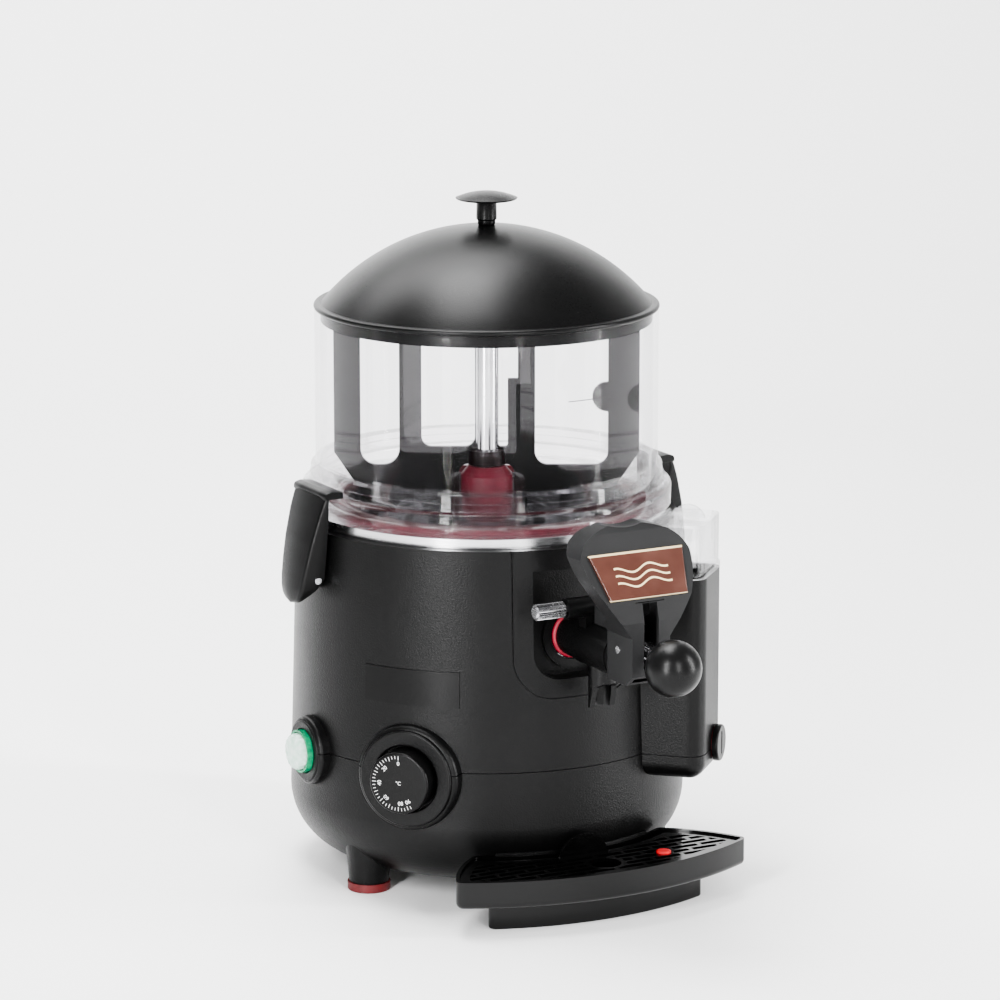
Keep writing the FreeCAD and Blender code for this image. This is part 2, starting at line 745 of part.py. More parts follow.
def latch():
    # The right hand latch, seen from the front: a curved shell that hooks on the bowl flange
    half = latch_half_width
    hook_low = V(121.5, 0, 269.9)
    hook_high = V(121.5, 0, 273.4)
    outer = Part.BSplineCurve()
    outer.interpolate([V(127.5, 0, latch_top_z + 2.0), V(139.0, 0, latch_top_z - 3.0),
                       V(148.5, 0, 250.0), V(151.5, 0, 230.0), V(150.0, 0, 212.0), V(145.5, 0, 199.0)])
    inner = Part.BSplineCurve()
    inner.interpolate([V(142.0, 0, 200.0), V(146.8, 0, 213.0), V(148.2, 0, 230.0), V(145.4, 0, 248.5),
                       V(138.0, 0, 264.0), V(129.5, 0, 269.9)])
    edges = [outer.toShape(), Part.makeLine(V(145.5, 0, 199.0), V(142.0, 0, 200.0)), inner.toShape()]
    edges.append(Part.makeLine(V(129.5, 0, 269.9), hook_low))
    edges.append(Part.makeLine(hook_low, hook_high))
    edges.append(Part.makeLine(hook_high, V(127.5, 0, latch_top_z + 2.0)))
    face = Part.Face(Part.Wire(edges))
    face.translate(V(0, -half, 0))
    skin = face.extrude(V(0, 2 * half, 0))
    cheek_line = [V(131.8, 0, 268.0), V(138.0, 0, 264.5), V(145.4, 0, 249.0), V(148.2, 0, 230.0),
                  V(146.8, 0, 213.0), V(143.0, 0, 201.5), V(141.0, 0, 205.0), V(137.0, 0, 208.3),
                  V(133.5, 0, 210.0), V(132.2, 0, 214.0), V(132.6, 0, 224.0), V(132.2, 0, 245.0)]
    cheek_face = Part.Face(Part.makePolygon(cheek_line + cheek_line[:1]))
    sides = []
    for low in (-half, half - latch_wall):
        side = cheek_face.copy()
        side.translate(V(0, low, 0))
        sides.append(side.extrude(V(0, latch_wall, 0)))
    shape = skin.multiFuse(sides)
    hole = cylinder(latch_pin_r + run_gap, V(latch_pin_x, -30, latch_pin_z), V(latch_pin_x, 30, latch_pin_z))
    shape = shape.cut(hole)
    shape = shape.cut(disc(flange_r + 0.4, 200, flange_shoulder_z + 5.4))
    return shape.cut(body_form(-0.6, 150, 244.9))


def latch_pins():
    end = latch_half_width + 0.6
    pin = cylinder(latch_pin_r, V(latch_pin_x, -end, latch_pin_z), V(latch_pin_x, end, latch_pin_z))
    return Part.makeCompound([pin, mirrored_x(pin)])


# Tap

def tap_body():
    z = tap_z
    pipe = cylinder(spigot_r, V(0, spigot_back_y, z), V(0, tap_flange_y, z))
    barrel = cylinder(barrel_r, V(0, tap_flange_y, z), V(0, barrel_front_y, z))
    ring = cylinder(barrel_r + 0.9, V(0, step_ring_y, z), V(0, step_ring_y - 46, z))
    spout = disc(spout_r, spout_low_z, z, 0, spout_y)
    slope = outline_prism([(spout_y - 30, spout_low_z + 40), (spout_y - 30, spout_low_z - 5),
                           (spout_y + 2, spout_low_z - 5), (spout_y - 3, spout_low_z + 14),
                           (spout_y - 12, spout_low_z + 19)], "x", -20, 20)
    spout = spout.cut(slope)
    lug = cylinder(lug_r, V(-23, screw_y, screw_z), V(12, screw_y, screw_z))
    web = block((-10, screw_y - 5, z + 8), (10, screw_y + 5, screw_z))
    body = pipe.multiFuse([barrel, ring, spout, lug, web])
    body = body.cut(cylinder(barrel_bore_r, V(0, -147, z), V(0, barrel_front_y - 5, z)))
    body = body.cut(cylinder(8.5, V(0, spigot_back_y + 5, z), V(0, -150, z)))
    body = body.cut(disc(spout_bore_r, spout_low_z - 10, z, 0, spout_y))
    body = body.cut(cylinder(2.6, V(-30, screw_y, screw_z), V(4, screw_y, screw_z)))
    return body.removeSplitter()


def tap_o_ring():
    ring = Part.makeTorus(spigot_r + 2.0, 1.9, V(0, -120.8, tap_z), V(0, 1, 0))
    return ring.cut(cylinder(spigot_r, V(0, -100, tap_z), V(0, -130, tap_z)))


def tap_piston():
    # A plunger with a forked front end that the lever's crank pin pulls
    z = tap_z
    radius = barrel_bore_r - run_gap
    rod = cylinder(radius, V(0, piston_back_y, z), V(0, rod_front_y, z))
    yoke_back = pivot_y + crank_pin_r + crank_play
    yoke_front = pivot_y - crank_pin_r - crank_play
    fork = cylinder(radius, V(0, rod_front_y, z), V(0, yoke_front - 2.2, z))
    fork = fork.common(block((-8.0, -300, z - 20), (8.0, 0, crank_z + 6.0)))
    slot = block((-crank_half - 0.4, yoke_front, z - 20), (crank_half + 0.4, yoke_back, z + 20))
    hollow = block((-crank_half - 0.4, -300, crank_z + 2.2), (crank_half + 0.4, rod_front_y, z + 20))
    groove = tube(radius + 1, radius - 1.6, V(0, piston_back_y - 2.4, z), V(0, piston_back_y - 5.4, z))
    return rod.fuse(fork).cut(slot).cut(hollow).cut(groove)


def piston_seal():
    z = tap_z
    radius = barrel_bore_r - run_gap
    return tube(barrel_bore_r - 0.02, radius - 1.6, V(0, piston_back_y - 2.4, z), V(0, piston_back_y - 5.4, z))


def shield_outline():
    # Front view of the shield: narrow nose below, wide arched head above
    half = nose_half
    wide = shield_half
    top = shield_top_z
    start = V(-half, -300, nose_low_z)
    neck = V(-half, -300, 203.0)
    side = Part.BSplineCurve()
    side.interpolate([neck, V(-27.5, -300, 222.0), V(-wide + 2.5, -300, 241.0), V(-wide, -300, 254.0)])
    crown = Part.BSplineCurve()
    crown.interpolate([V(-wide, -300, 254.0), V(-wide + 7.5, -300, 264.5), V(-16, -300, top - 1.6),
                       V(0, -300, top), V(16, -300, top - 1.6), V(wide - 7.5, -300, 264.5),
                       V(wide, -300, 254.0)])
    side_b = Part.BSplineCurve()
    side_b.interpolate([V(wide, -300, 254.0), V(wide - 2.5, -300, 241.0), V(27.5, -300, 222.0),
                        V(half, -300, 203.0)])
    edges = [Part.makeLine(start, neck), side.toShape(), crown.toShape(), side_b.toShape()]
    edges.append(Part.makeLine(V(half, -300, 203.0), V(half, -300, nose_low_z)))
    edges.append(Part.makeLine(V(half, -300, nose_low_z), start))
    return Part.Face(Part.Wire(edges)).extrude(V(0, 200, 0))


def shield_side():
    # Side view: upright nose, then a face that leans back under the label
    back = barrel_front_y - 0.02
    points = [(back, nose_low_z), (-214.0, nose_low_z), (nose_front_y, 178.0), (nose_front_y - 0.6, 214.0),
              (label_low_y, label_low_z), (label_high_y, label_high_z), (-193.0, 268.0),
              (-186.0, 273.0), (-174.0, 273.0), (-177.0, 262.0), (-199.0, 231.0), (-201.5, 214.0),
              (back, 208.0)]
    return outline_prism(points, "x", -60, 60)


def tap_shield():
    shape = shield_outline().common(shield_side())
    shape = shape.removeSplitter()
    thumb = Part.makeSphere(40.0, V(0, -181.0, shield_top_z + 36.5))
    back_hollow = shield_cavity()
    shape = shape.cut(thumb).cut(back_hollow)
    slot = block((-slot_half, -240, slot_low_z), (slot_half, -200, slot_high_z))
    room = nose_half - cheek
    cavity = block((-room, -220, tap_z - barrel_bore_r - 0.1), (room, -189, slot_high_z + 1))
    shape = shape.cut(slot).cut(cavity)
    rib_low = tap_z + barrel_r + 0.92
    rib = block((-5, -199, rib_low), (5, screw_y - lug_r - 0.5, rib_low + 12))
    root = block((-nose_half + cheek - 0.2, -199, rib_low), (nose_half - cheek + 0.2, -190.5, rib_low + 6))
    shape = shape.fuse(rib).fuse(root)
    pin = cylinder(pivot_r, V(-40, pivot_y, pivot_z), V(40, pivot_y, pivot_z))
    return shape.cut(pin).removeSplitter()


def shield_cavity():
    # The head is a shell: hollow behind the label face
    inset = 3.0
    points = [(-170.0, 266.0), (-189.0, 266.0), (label_high_y + 4.2, label_high_z + 0.5),
              (label_low_y + 4.2, label_low_z + 0.5), (-205.0, 217.0), (-190.0, 214.5), (-170.0, 240.0)]
    side = outline_prism(points, "x", -60, 60)
    front = shield_outline()
    scale = FreeCAD.Matrix()
    scale.scale(1.0 - inset / shield_half, 1.0, 1.0)
    narrow = front.transformGeometry(scale)
    keep = block((-nose_half, -400, 100), (nose_half, 0, slot_high_z + 4))
    return narrow.common(side).cut(keep).common(block((-60, -300, 219), (60, 0, 267)))


def label_plate():
    # A bare plate with bevelled edges on the leaning face
    slope = math.hypot(label_high_y - label_low_y, label_high_z - label_low_z)
    base = Part.Face(Part.makePolygon([V(-label_low_half, 0, 0.6), V(label_low_half, 0, 0.6),
                                       V(label_top_half, 0, slope - 0.6), V(-label_top_half, 0, slope - 0.6),
                                       V(-label_low_half, 0, 0.6)]))
    plate = base.extrude(V(0, -1.8, 0))
    plate = fillet_near(plate, 0.7, lambda e: e.CenterOfMass.y < -1.7)
    tilt = math.degrees(math.atan2(label_high_y - label_low_y, label_high_z - label_low_z))
    plate.rotate(V(0, 0, 0), V(1, 0, 0), -tilt)
    plate.translate(V(0, label_low_y - 0.02, label_low_z))
    return plate


def tap_lever():
    width = crank_half
    hub = cylinder(5.2, V(-width, pivot_y, pivot_z), V(width, pivot_y, pivot_z))
    web = block((-width, pivot_y - crank_pin_r, crank_z), (width, pivot_y + crank_pin_r, pivot_z))
    pin = cylinder(crank_pin_r, V(-width, pivot_y, crank_z), V(width, pivot_y, crank_z))
    start = V(0, pivot_y, pivot_z)
    ball = V(0, ball_y, ball_z)
    along = ball.sub(start)
    along.normalize()
    end = ball.sub(V(along.x * 8, along.y * 8, along.z * 8))
    arm = cylinder(lever_r, start, end)
    lever = hub.multiFuse([web, pin, arm])
    bore = cylinder(pivot_r + run_gap, V(-20, pivot_y, pivot_z), V(20, pivot_y, pivot_z))
    return lever.cut(bore).removeSplitter()


def ball_knob():
    start = V(0, pivot_y, pivot_z)
    ball = V(0, ball_y, ball_z)
    along = ball.sub(start)
    along.normalize()
    back = ball.sub(V(along.x * 8, along.y * 8, along.z * 8))
    mouth = ball.sub(V(along.x * 30, along.y * 30, along.z * 30))
    face = ball.sub(V(along.x * (ball_r - 0.9), along.y * (ball_r - 0.9), along.z * (ball_r - 0.9)))
    sphere = Part.makeSphere(ball_r, ball)
    return sphere.cut(cylinder(lever_r, back, mouth)).cut(cylinder(ball_r, face, mouth))


def lever_pin():
    end = nose_half + 0.5
    return cylinder(pivot_r, V(-end, pivot_y, pivot_z), V(end, pivot_y, pivot_z))


def thumb_screw():
    # A knurled head on a plain stem that locks the tap
    face = Part.Face(knurl_wire(screw_r, 24, 0.45))
    head = face.extrude(V(0, 0, 20.5))
    head.rotate(V(0, 0, 0), V(0, 1, 0), -90)
    head.translate(V(-24.6, screw_y, screw_z))
    stem = cylinder(2.5, V(-24.6, screw_y, screw_z), V(3.0, screw_y, screw_z))
    tip = cylinder(3.6, V(-45.1, screw_y, screw_z), V(-46.3, screw_y, screw_z))
    return head.fuse(stem).fuse(tip)


def knurl_wire(radius, teeth, depth):
    points = []
    for step in range(2 * teeth):
        reach = radius - (depth if step % 2 else 0.0)
        turn = math.pi * step / teeth
        points.append(V(reach * math.cos(turn), reach * math.sin(turn), 0))
    return Part.makePolygon(points + points[:1])


# Thermostat and switch

def dial_collar():
    back = dial_point(widest_r + fit_gap)
    ring = tube(dial_collar_r - fit_gap, dial_knob_r + 1.4, back, dial_point(dial_collar_reach))
    rim = dial_point(dial_collar_reach - 0.1).Length
    return fillet_near(ring, 1.5, lambda e: e.CenterOfMass.Length > rim)


def thermostat_knob():
    body = cylinder(dial_knob_r, dial_point(dial_back_reach), dial_point(dial_face_reach))
    body = fillet_near(body, 1.6, lambda e: e.CenterOfMass.Length > dial_point(dial_face_reach - 0.2).Length)
    hollow = cylinder(dial_knob_r - 2.5, dial_point(dial_back_reach - 0.6), dial_point(dial_face_reach - 3))
    boss = tube(5.5, spindle_r, dial_point(dial_back_reach + 0.4), dial_point(dial_face_reach - 1.5))
    pointer = cylinder(1.0, dial_point(dial_face_reach - 0.6, dial_z + 17.5),
                       dial_point(dial_face_reach + 0.4, dial_z + 17.5))
    socket = cylinder(spindle_r, dial_point(dial_seat_reach), dial_point(dial_face_reach - 4))
    knob = body.cut(hollow).fuse(boss).cut(socket)
    return knob.cut(pointer)


def thermostat_body():
    can_face = widest_r - 8.5
    can = cylinder(17.0, dial_point(can_face - 23), dial_point(can_face))
    bush = cylinder(11.4, dial_point(can_face), dial_point(widest_r - 0.5))
    return can.fuse(bush)


def thermostat_spindle():
    return cylinder(spindle_r - 0.05, dial_point(widest_r - 0.45), dial_point(dial_face_reach - 4.2))


def temperature_probe():
    low = tank_floor_z - 6.2
    bulb = cylinder(3.0, V(-58, -30, low), V(-58, 30, low))
    clip = block((-62, -10, low), (-54, 10, tank_floor_z - 0.02))
    return bulb.fuse(clip)


def switch_body():
    back = widest_r - 8.0
    can = cylinder(switch_bore_r - 1.4, lamp_point(back - 19.5), lamp_point(back))
    bezel = tube(switch_bore_r, switch_button_r + 0.6, lamp_point(back), lamp_point(switch_bezel_reach))
    return can.fuse(bezel)


def switch_button():
    cap = cylinder(switch_button_r, lamp_point(widest_r - 3.5), lamp_point(switch_reach))
    return fillet_near(cap, 3.0, lambda e: e.CenterOfMass.x < -switch_reach + 0.1)


def switch_collar():
    back = lamp_point(switch_seat_reach + 0.1)
    ring = tube(switch_collar_r - fit_gap, switch_bore_r + fit_gap, back, lamp_point(switch_collar_reach))
    return fillet_near(ring, 1.2, lambda e: e.CenterOfMass.x < 0.1 - switch_collar_reach)


# Water box cap and drain plug

def box_block(inset, low_z, high_z, corner):
    low = V(112.0 + inset, box_side_low + inset, low_z)
    high = V(box_reach - inset, box_side_high - inset, high_z)
    shape = Part.makeBox(high.x - low.x, high.y - low.y, high.z - low.z, low)

    def upright(edge):
        ends = [vertex.Point for vertex in edge.Vertexes]
        return abs(ends[0].z - ends[1].z) > 1

    return fillet_near(shape, corner, upright)


def water_cap():
    # A clear lift off cover with a half round tab
    low = box_top_z + 0.1
    outer = box_block(1.2, low, cap_top_z, 8.0)
    inner = box_block(1.2 + cap_wall, low - 1, cap_top_z - cap_wall, 5.8)
    flange = box_block(0.1, low, low + cap_flange_height, 9.0)
    skirt = box_block(body_wall + 0.5, low - 4, low + 1, 8.0)
    sill = box_block(2.0, low, low + 1.6, 7.0)
    skirt = skirt.fuse(sill).cut(box_block(body_wall + 2.3, low - 5, low + 2, 6.2))
    shape = outer.fuse(flange).cut(inner).fuse(skirt)
    middle = (box_side_low + box_side_high) / 2.0
    tab = cylinder(12.0, V(148, middle - 1.2, cap_top_z - 3), V(148, middle + 1.2, cap_top_z - 3))
    tab = tab.common(block((100, -100, cap_top_z - 0.5), (200, 100, cap_top_z + 20)))
    shape = shape.fuse(tab)
    shape = turned(shape, box_angle)
    shape = shape.cut(disc(widest_r - 3.6, 200, housing_top_z + 0.6))
    return shape.cut(disc(flange_r + 2.5, 200, 300)).removeSplitter()


def drain_plug():
    head_low = box_reach + 0.6
    back = box_point(head_low, plug_side, plug_z)
    head = cylinder(plug_r, back, box_point(head_low + 4.2, plug_side, plug_z))
    rim = box_point(head_low + 4, plug_side, plug_z).Length
    head = fillet_near(head, 1.2, lambda e: e.CenterOfMass.Length > rim)
    stem = cylinder(plug_bore_r, box_point(head_low - 9, plug_side, plug_z), back)
    slot = block((head_low + 2.4, plug_side - 1.3, plug_z - 8), (head_low + 9, plug_side + 1.3, plug_z + 8))
    return head.fuse(stem).cut(turned(slot, box_angle))


def drain_seal():
    return tube(plug_r - 1.0, plug_bore_r + 0.62, box_point(box_reach + 0.02, plug_side, plug_z),
                box_point(box_reach + 0.58, plug_side, plug_z))


# Drip tray

def tray_form(inset, low, high, corner, setback=0.0):
    # A lens seen from above, cut back where it meets the round body
    sag = tray_end_y - tray_front_y
    front_r = (tray_half ** 2 + sag ** 2) / (2.0 * sag)
    front_centre = tray_front_y + front_r
    rear_centre = tray_end_y - math.sqrt(tray_rear_r ** 2 - tray_half ** 2)
    front = disc(front_r - inset, low, high, 0, front_centre)
    rear = disc(tray_rear_r - inset, low, high, 0, rear_centre)
    shape = front.common(rear).cut(disc(body_clear_r + inset + setback, low - 1, high + 1))

    def upright(edge):
        ends = [vertex.Point for vertex in edge.Vertexes]
        return len(ends) == 2 and abs(ends[0].z - ends[1].z) > 0.5

    return fillet_near(shape, corner, upright)


def drip_tray():
    waist = 20.0
    upper = tray_form(0, waist, tray_rim_z, 5.0)
    upper = fillet_near(upper, 4.0, lambda e: e.BoundBox.ZMax < waist + 0.1)
    foot = tray_form(foot_inset, 0, waist + 4, 5.0)
    foot = fillet_near(foot, 1.5, lambda e: e.BoundBox.ZMax < 0.1)
    hollow = tray_form(tray_wall, waist + tray_wall, tray_rim_z + 1, 2.5)
    well = tray_form(foot_inset + tray_wall, tray_wall, waist + tray_wall + 1, 2.5)
    ledge = tray_form(tray_wall - 0.5, grid_z - 4, grid_z - 0.1, 2.5)
    ledge = ledge.cut(tray_form(tray_wall + 2.2, grid_z - 5, grid_z + 1, 2.0, grid_setback))
    return upper.fuse(foot).cut(hollow).cut(well).fuse(ledge).removeSplitter()


def tray_grid():
    low = grid_z
    high = grid_z + grid_thick
    plate = tray_form(tray_wall + fit_gap, low, high, 2.3, grid_setback)
    field = tray_form(tray_wall + 6.5, low - 1, high + 1, 2.0, grid_setback - 1.0)
    guard = disc(drain_hole_r + 3.5, low - 2, high + 2, 0, drain_hole_y)
    guard = guard.fuse(disc(float_r + 3.2, low - 2, high + 2, float_x, float_y))
    slot_long = 19.0
    slot_wide = 4.6
    pitch_x = 22.0
    pitch_y = 7.4
    slots = []
    for row in range(8):
        y = -186.5 + row * pitch_y
        shift = pitch_x / 2 if row % 2 else 0.0
        for column in range(-5, 6):
            x = column * pitch_x + shift
            slots.append(block((x - slot_long / 2, y - slot_wide / 2, low - 1),
                               (x + slot_long / 2, y + slot_wide / 2, high + 1)))
    holes = Part.makeCompound(slots).common(field).cut(guard)
    plate = plate.cut(holes)
    plate = plate.cut(disc(drain_hole_r, low - 1, high + 1, 0, drain_hole_y))
    plate = plate.cut(disc(float_r + 0.7, low - 1, high + 1, float_x, float_y))
    tab_y = -(body_clear_r + tray_wall + fit_gap + grid_setback) - 0.4
    tab = cylinder(19.0, V(-4, tab_y - 2.2, high - 4), V(-4, tab_y, high - 4))
    tab = tab.common(block((-40, -150, high - 1), (40, -130, high + 20)))
    return plate.fuse(tab).removeSplitter()


def tray_float():
    # Hangs in the grid by its cap and rises when the tray is full
    seat = grid_z + grid_thick + 0.04
    stem = disc(float_r, 25, seat + 1.0, float_x, float_y)
    cap = disc(float_r + 1.3, seat, seat + 1.6, float_x, float_y)
    cap = fillet_near(cap, 0.8, lambda e: e.CenterOfMass.z > seat + 1.5)
    return stem.multiFuse([cap, disc(7.5, 22.9, 26.5, float_x, float_y)])


def tray_bracket():
    # The wedge shaped seat under the body's curve that the tray stands against
    low = 16.0
    high = 40.0
    ring = disc(body_clear_r - fit_gap, low, high).cut(body_form(-0.02, bottom_z, housing_top_z))
    sector = block((-58, -160, low), (58, -90, high))
    seat = ring.common(sector)
    return seat.cut(disc(118.0, low - 1, high + 1))


# Small parts

def foot_pads():
    pads = []
    for angle in leg_angles:
        centre = polar(leg_circle_r, angle, 0)
        pad = disc(pad_r, 0, pad_height - 0.02, centre.x, centre.y)
        pads.append(fillet_near(pad, 1.0, lambda e: e.CenterOfMass.z < 0.1))
    return Part.makeCompound(pads)


def base_screws():
    screws = []
    for step in range(4):
        foot = polar(screw_circle_r, screw_turn + 90 * step, 0)
        head = disc(4.5, bottom_z - 2.4, bottom_z - 0.02, foot.x, foot.y)
        stem = disc(1.9, bottom_z - 1, bottom_z + 16, foot.x, foot.y)
        screws.append(head.fuse(stem))
    return Part.makeCompound(screws)


def base_screw_holes(shape, radius):
    for step in range(4):
        foot = polar(screw_circle_r, screw_turn + 90 * step, 0)
        shape = shape.cut(disc(radius, bottom_z - 5, bottom_z + 16.1, foot.x, foot.y))
    return shape


def name_plate():
    skin = body_form(-0.7, 120, 200).cut(body_form(-0.02, 110, 210))
    patch = block((110, -name_half, name_low_z), (150, name_half, name_high_z))
    return skin.common(turned(patch, dial_angle))


def cable_gland():
    z = gland_z
    end = gland_end_y
    nut = cylinder(11.5, V(0, end - 21, z), V(0, end - 11.5, z))
    body = cylinder(8.9, V(0, end - 11.5, z), V(0, end - 4, z))
    flange = cylinder(12.0, V(0, end - 5.3, z), V(0, end, z))
    flange = fillet_near(flange, 1.5, lambda e: e.CenterOfMass.y > end - 0.1)
    return nut.multiFuse([body, flange]).cut(cylinder(4.0, V(0, 100, z), V(0, 150, z)))


def build():
    upper, lower = housings()
    upper, lower = finish_housings(upper, lower)
    lower = base_screw_holes(lower, 2.0)
    save("upper_housing", upper)
    save("lower_housing", lower)
    save("foot_pads", foot_pads())
    save("water_tank", water_tank())
    save("tank_seal", tank_seal())
    save("product_pan", product_pan())
    save("shaft_bushes", shaft_bushes())
    save("heating_element", heating_element())
    save("shaft_seal", shaft_seal())
    save("pan_gasket", pan_gasket())
    save("bowl", bowl())
    save("lid", lid())
    save("lid_knob", lid_knob())
    save("knob_screw", knob_screw())
    save("drive_shaft", drive_shaft())
    save("agitator", agitator())
    save("agitator_screw", collar_screw())
    motor, socket = gear_motor()
    save("gear_motor", motor)
    save("drive_coupling", socket)
    save("motor_bracket", base_screw_holes(motor_bracket(), 1.92))
    save("base_screws", base_screws())
    right = latch()
    save("latch_right", right)
    save("latch_left", mirrored_x(right))
    save("latch_pins", latch_pins())
    tap = tap_body()
    save("tap_body", tap)
    save("tap_o_ring", tap_o_ring())
    save("tap_piston", tap_piston())
    save("piston_seal", piston_seal())
    save("tap_shield", tap_shield())
    save("label_plate", label_plate())
    save("tap_lever", tap_lever())
    save("ball_knob", ball_knob())
    save("lever_pin", lever_pin())
    save("thumb_screw", thumb_screw())
    save("dial_collar", dial_collar())
    save("thermostat_knob", thermostat_knob())
    save("thermostat_body", thermostat_body())
    save("thermostat_spindle", thermostat_spindle())
    save("temperature_probe", temperature_probe())
    save("switch_body", switch_body())
    save("switch_button", switch_button())
    save("switch_collar", switch_collar())
    save("water_cap", water_cap())
    save("drain_plug", drain_plug())
    save("drain_seal", drain_seal())
    save("drip_tray", drip_tray())
    save("tray_grid", tray_grid())
    save("tray_float", tray_float())
    save("tray_bracket", tray_bracket())
    save("name_plate", name_plate())
    save("cable_gland", cable_gland())


build()
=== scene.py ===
import bmesh
import bpy
import math
import mathutils
import numpy as np
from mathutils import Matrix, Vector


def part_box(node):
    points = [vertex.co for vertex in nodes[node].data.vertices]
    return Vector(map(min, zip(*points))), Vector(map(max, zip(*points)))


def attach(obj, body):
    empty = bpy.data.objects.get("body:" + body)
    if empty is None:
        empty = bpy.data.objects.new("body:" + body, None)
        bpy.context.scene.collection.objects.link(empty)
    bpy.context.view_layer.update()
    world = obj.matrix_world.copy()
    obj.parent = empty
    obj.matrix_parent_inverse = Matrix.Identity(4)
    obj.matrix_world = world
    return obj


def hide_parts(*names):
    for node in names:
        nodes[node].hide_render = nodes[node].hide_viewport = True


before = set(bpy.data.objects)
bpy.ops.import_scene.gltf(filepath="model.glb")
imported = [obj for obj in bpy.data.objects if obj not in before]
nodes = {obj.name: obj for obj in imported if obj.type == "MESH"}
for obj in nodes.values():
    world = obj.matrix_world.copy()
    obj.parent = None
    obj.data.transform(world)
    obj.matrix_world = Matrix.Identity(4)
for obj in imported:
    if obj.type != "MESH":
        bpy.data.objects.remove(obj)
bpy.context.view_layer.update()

# Camera of the reference view, in metres, degrees and millimetres
camera_place = (-1.4823, -2.7332, 0.9241)
camera_turn = -28.64
camera_dip = 12.2
camera_lens = 167.5
camera_sensor = 36.0

# Steps round a turned piece, the reach of the weld in metres and the angle of a sharp edge in degrees
round_steps = 192
small_steps = 96
weld_reach = 0.000002
sharp_angle = 35.0

# Bowl and tap lever, in metres
bowl_wall = 0.0036
lid_overhang = 0.0005
lever_pivot = (0.0, -0.204, 0.193)

# Latch: height, face, back and half width in millimetres, from the tongue to the hook
latch_stations = (
    (197.5, 149.0, 147.4, 5.0),
    (199.0, 149.8, 147.0, 9.6),
    (202.0, 150.2, 144.5, 13.0),
    (207.0, 149.9, 138.2, 15.6),
    (214.0, 148.9, 132.9, 17.35),
    (225.0, 147.0, 132.6, 19.0),
    (240.0, 143.9, 132.3, 21.0),
    (258.0, 139.1, 132.2, 23.0),
    (267.0, 136.0, 132.4, 23.8),
    (271.2, 134.4, 131.8, 24.0),
)
latch_sheet = 0.0024
latch_corner = 0.0028
latch_crown = 0.0012

# Hook of the latch: reach, height and corner radius in metres
hook_corners = (
    (0.1215, 0.2699, 0.0003),
    (0.1350, 0.2699, 0.0003),
    (0.1352, 0.2738, 0.0026),
    (0.1300, 0.2752, 0.0040),
    (0.1215, 0.2744, 0.0008),
)

# Dial: its place in degrees and metres, its scale in degrees and its marks in metres
dial_turn = -141.0
dial_height = 0.0905
dial_reach = 0.153
dial_start = 90.0
dial_sweep = 210.0
dial_full = 90.0
dial_numbers = (0, 20, 40, 60, 80, 90)
number_r = 0.0135
number_size = 0.0038
unit_size = 0.0036
tick_count = 29
long_tick_every = 3
long_tick_r = 0.0160
short_tick_r = 0.0168
tick_rim_r = 0.0188
tick_half = 0.00017

# A noise value lies mostly between these two
noise_low = 0.3
noise_high = 0.7


# Shader helpers

class Val:
    """A shader value whose plus, minus, times and divide signs add Math nodes."""

    def __init__(self, tree, socket):
        self.tree = tree
        self.socket = socket

    def math(self, operation, *others, clamp=False):
        node = self.tree.nodes.new("ShaderNodeMath")
        node.operation = operation
        node.use_clamp = clamp
        for slot, value in zip(node.inputs, (self, *others)):
            plug(self.tree, slot, value)
        return Val(self.tree, node.outputs[0])

    def __add__(self, other):
        return self.math("ADD", other)

    __radd__ = __add__

    def __mul__(self, other):
        return self.math("MULTIPLY", other)

    __rmul__ = __mul__

    def __sub__(self, other):
        return self.math("SUBTRACT", other)

    def __rsub__(self, other):
        return (self * -1.0) + other

    def __truediv__(self, other):
        return self.math("DIVIDE", other)

    def above(self, edge, soft=0.0001):
        """Zero below the edge, one above it, with a soft step between."""
        return ((self - edge) / soft + 0.5).math("ADD", 0.0, clamp=True)

    def band(self, low, high, soft=0.0001):
        """One between the two edges, zero outside them."""
        return self.above(low, soft) * (1.0 - self.above(high, soft))


def plug(tree, slot, value):
    """Links a shader value to a socket, or sets a constant on it."""
    if isinstance(value, Val):
        tree.links.new(value.socket, slot)
    else:
        slot.default_value = value


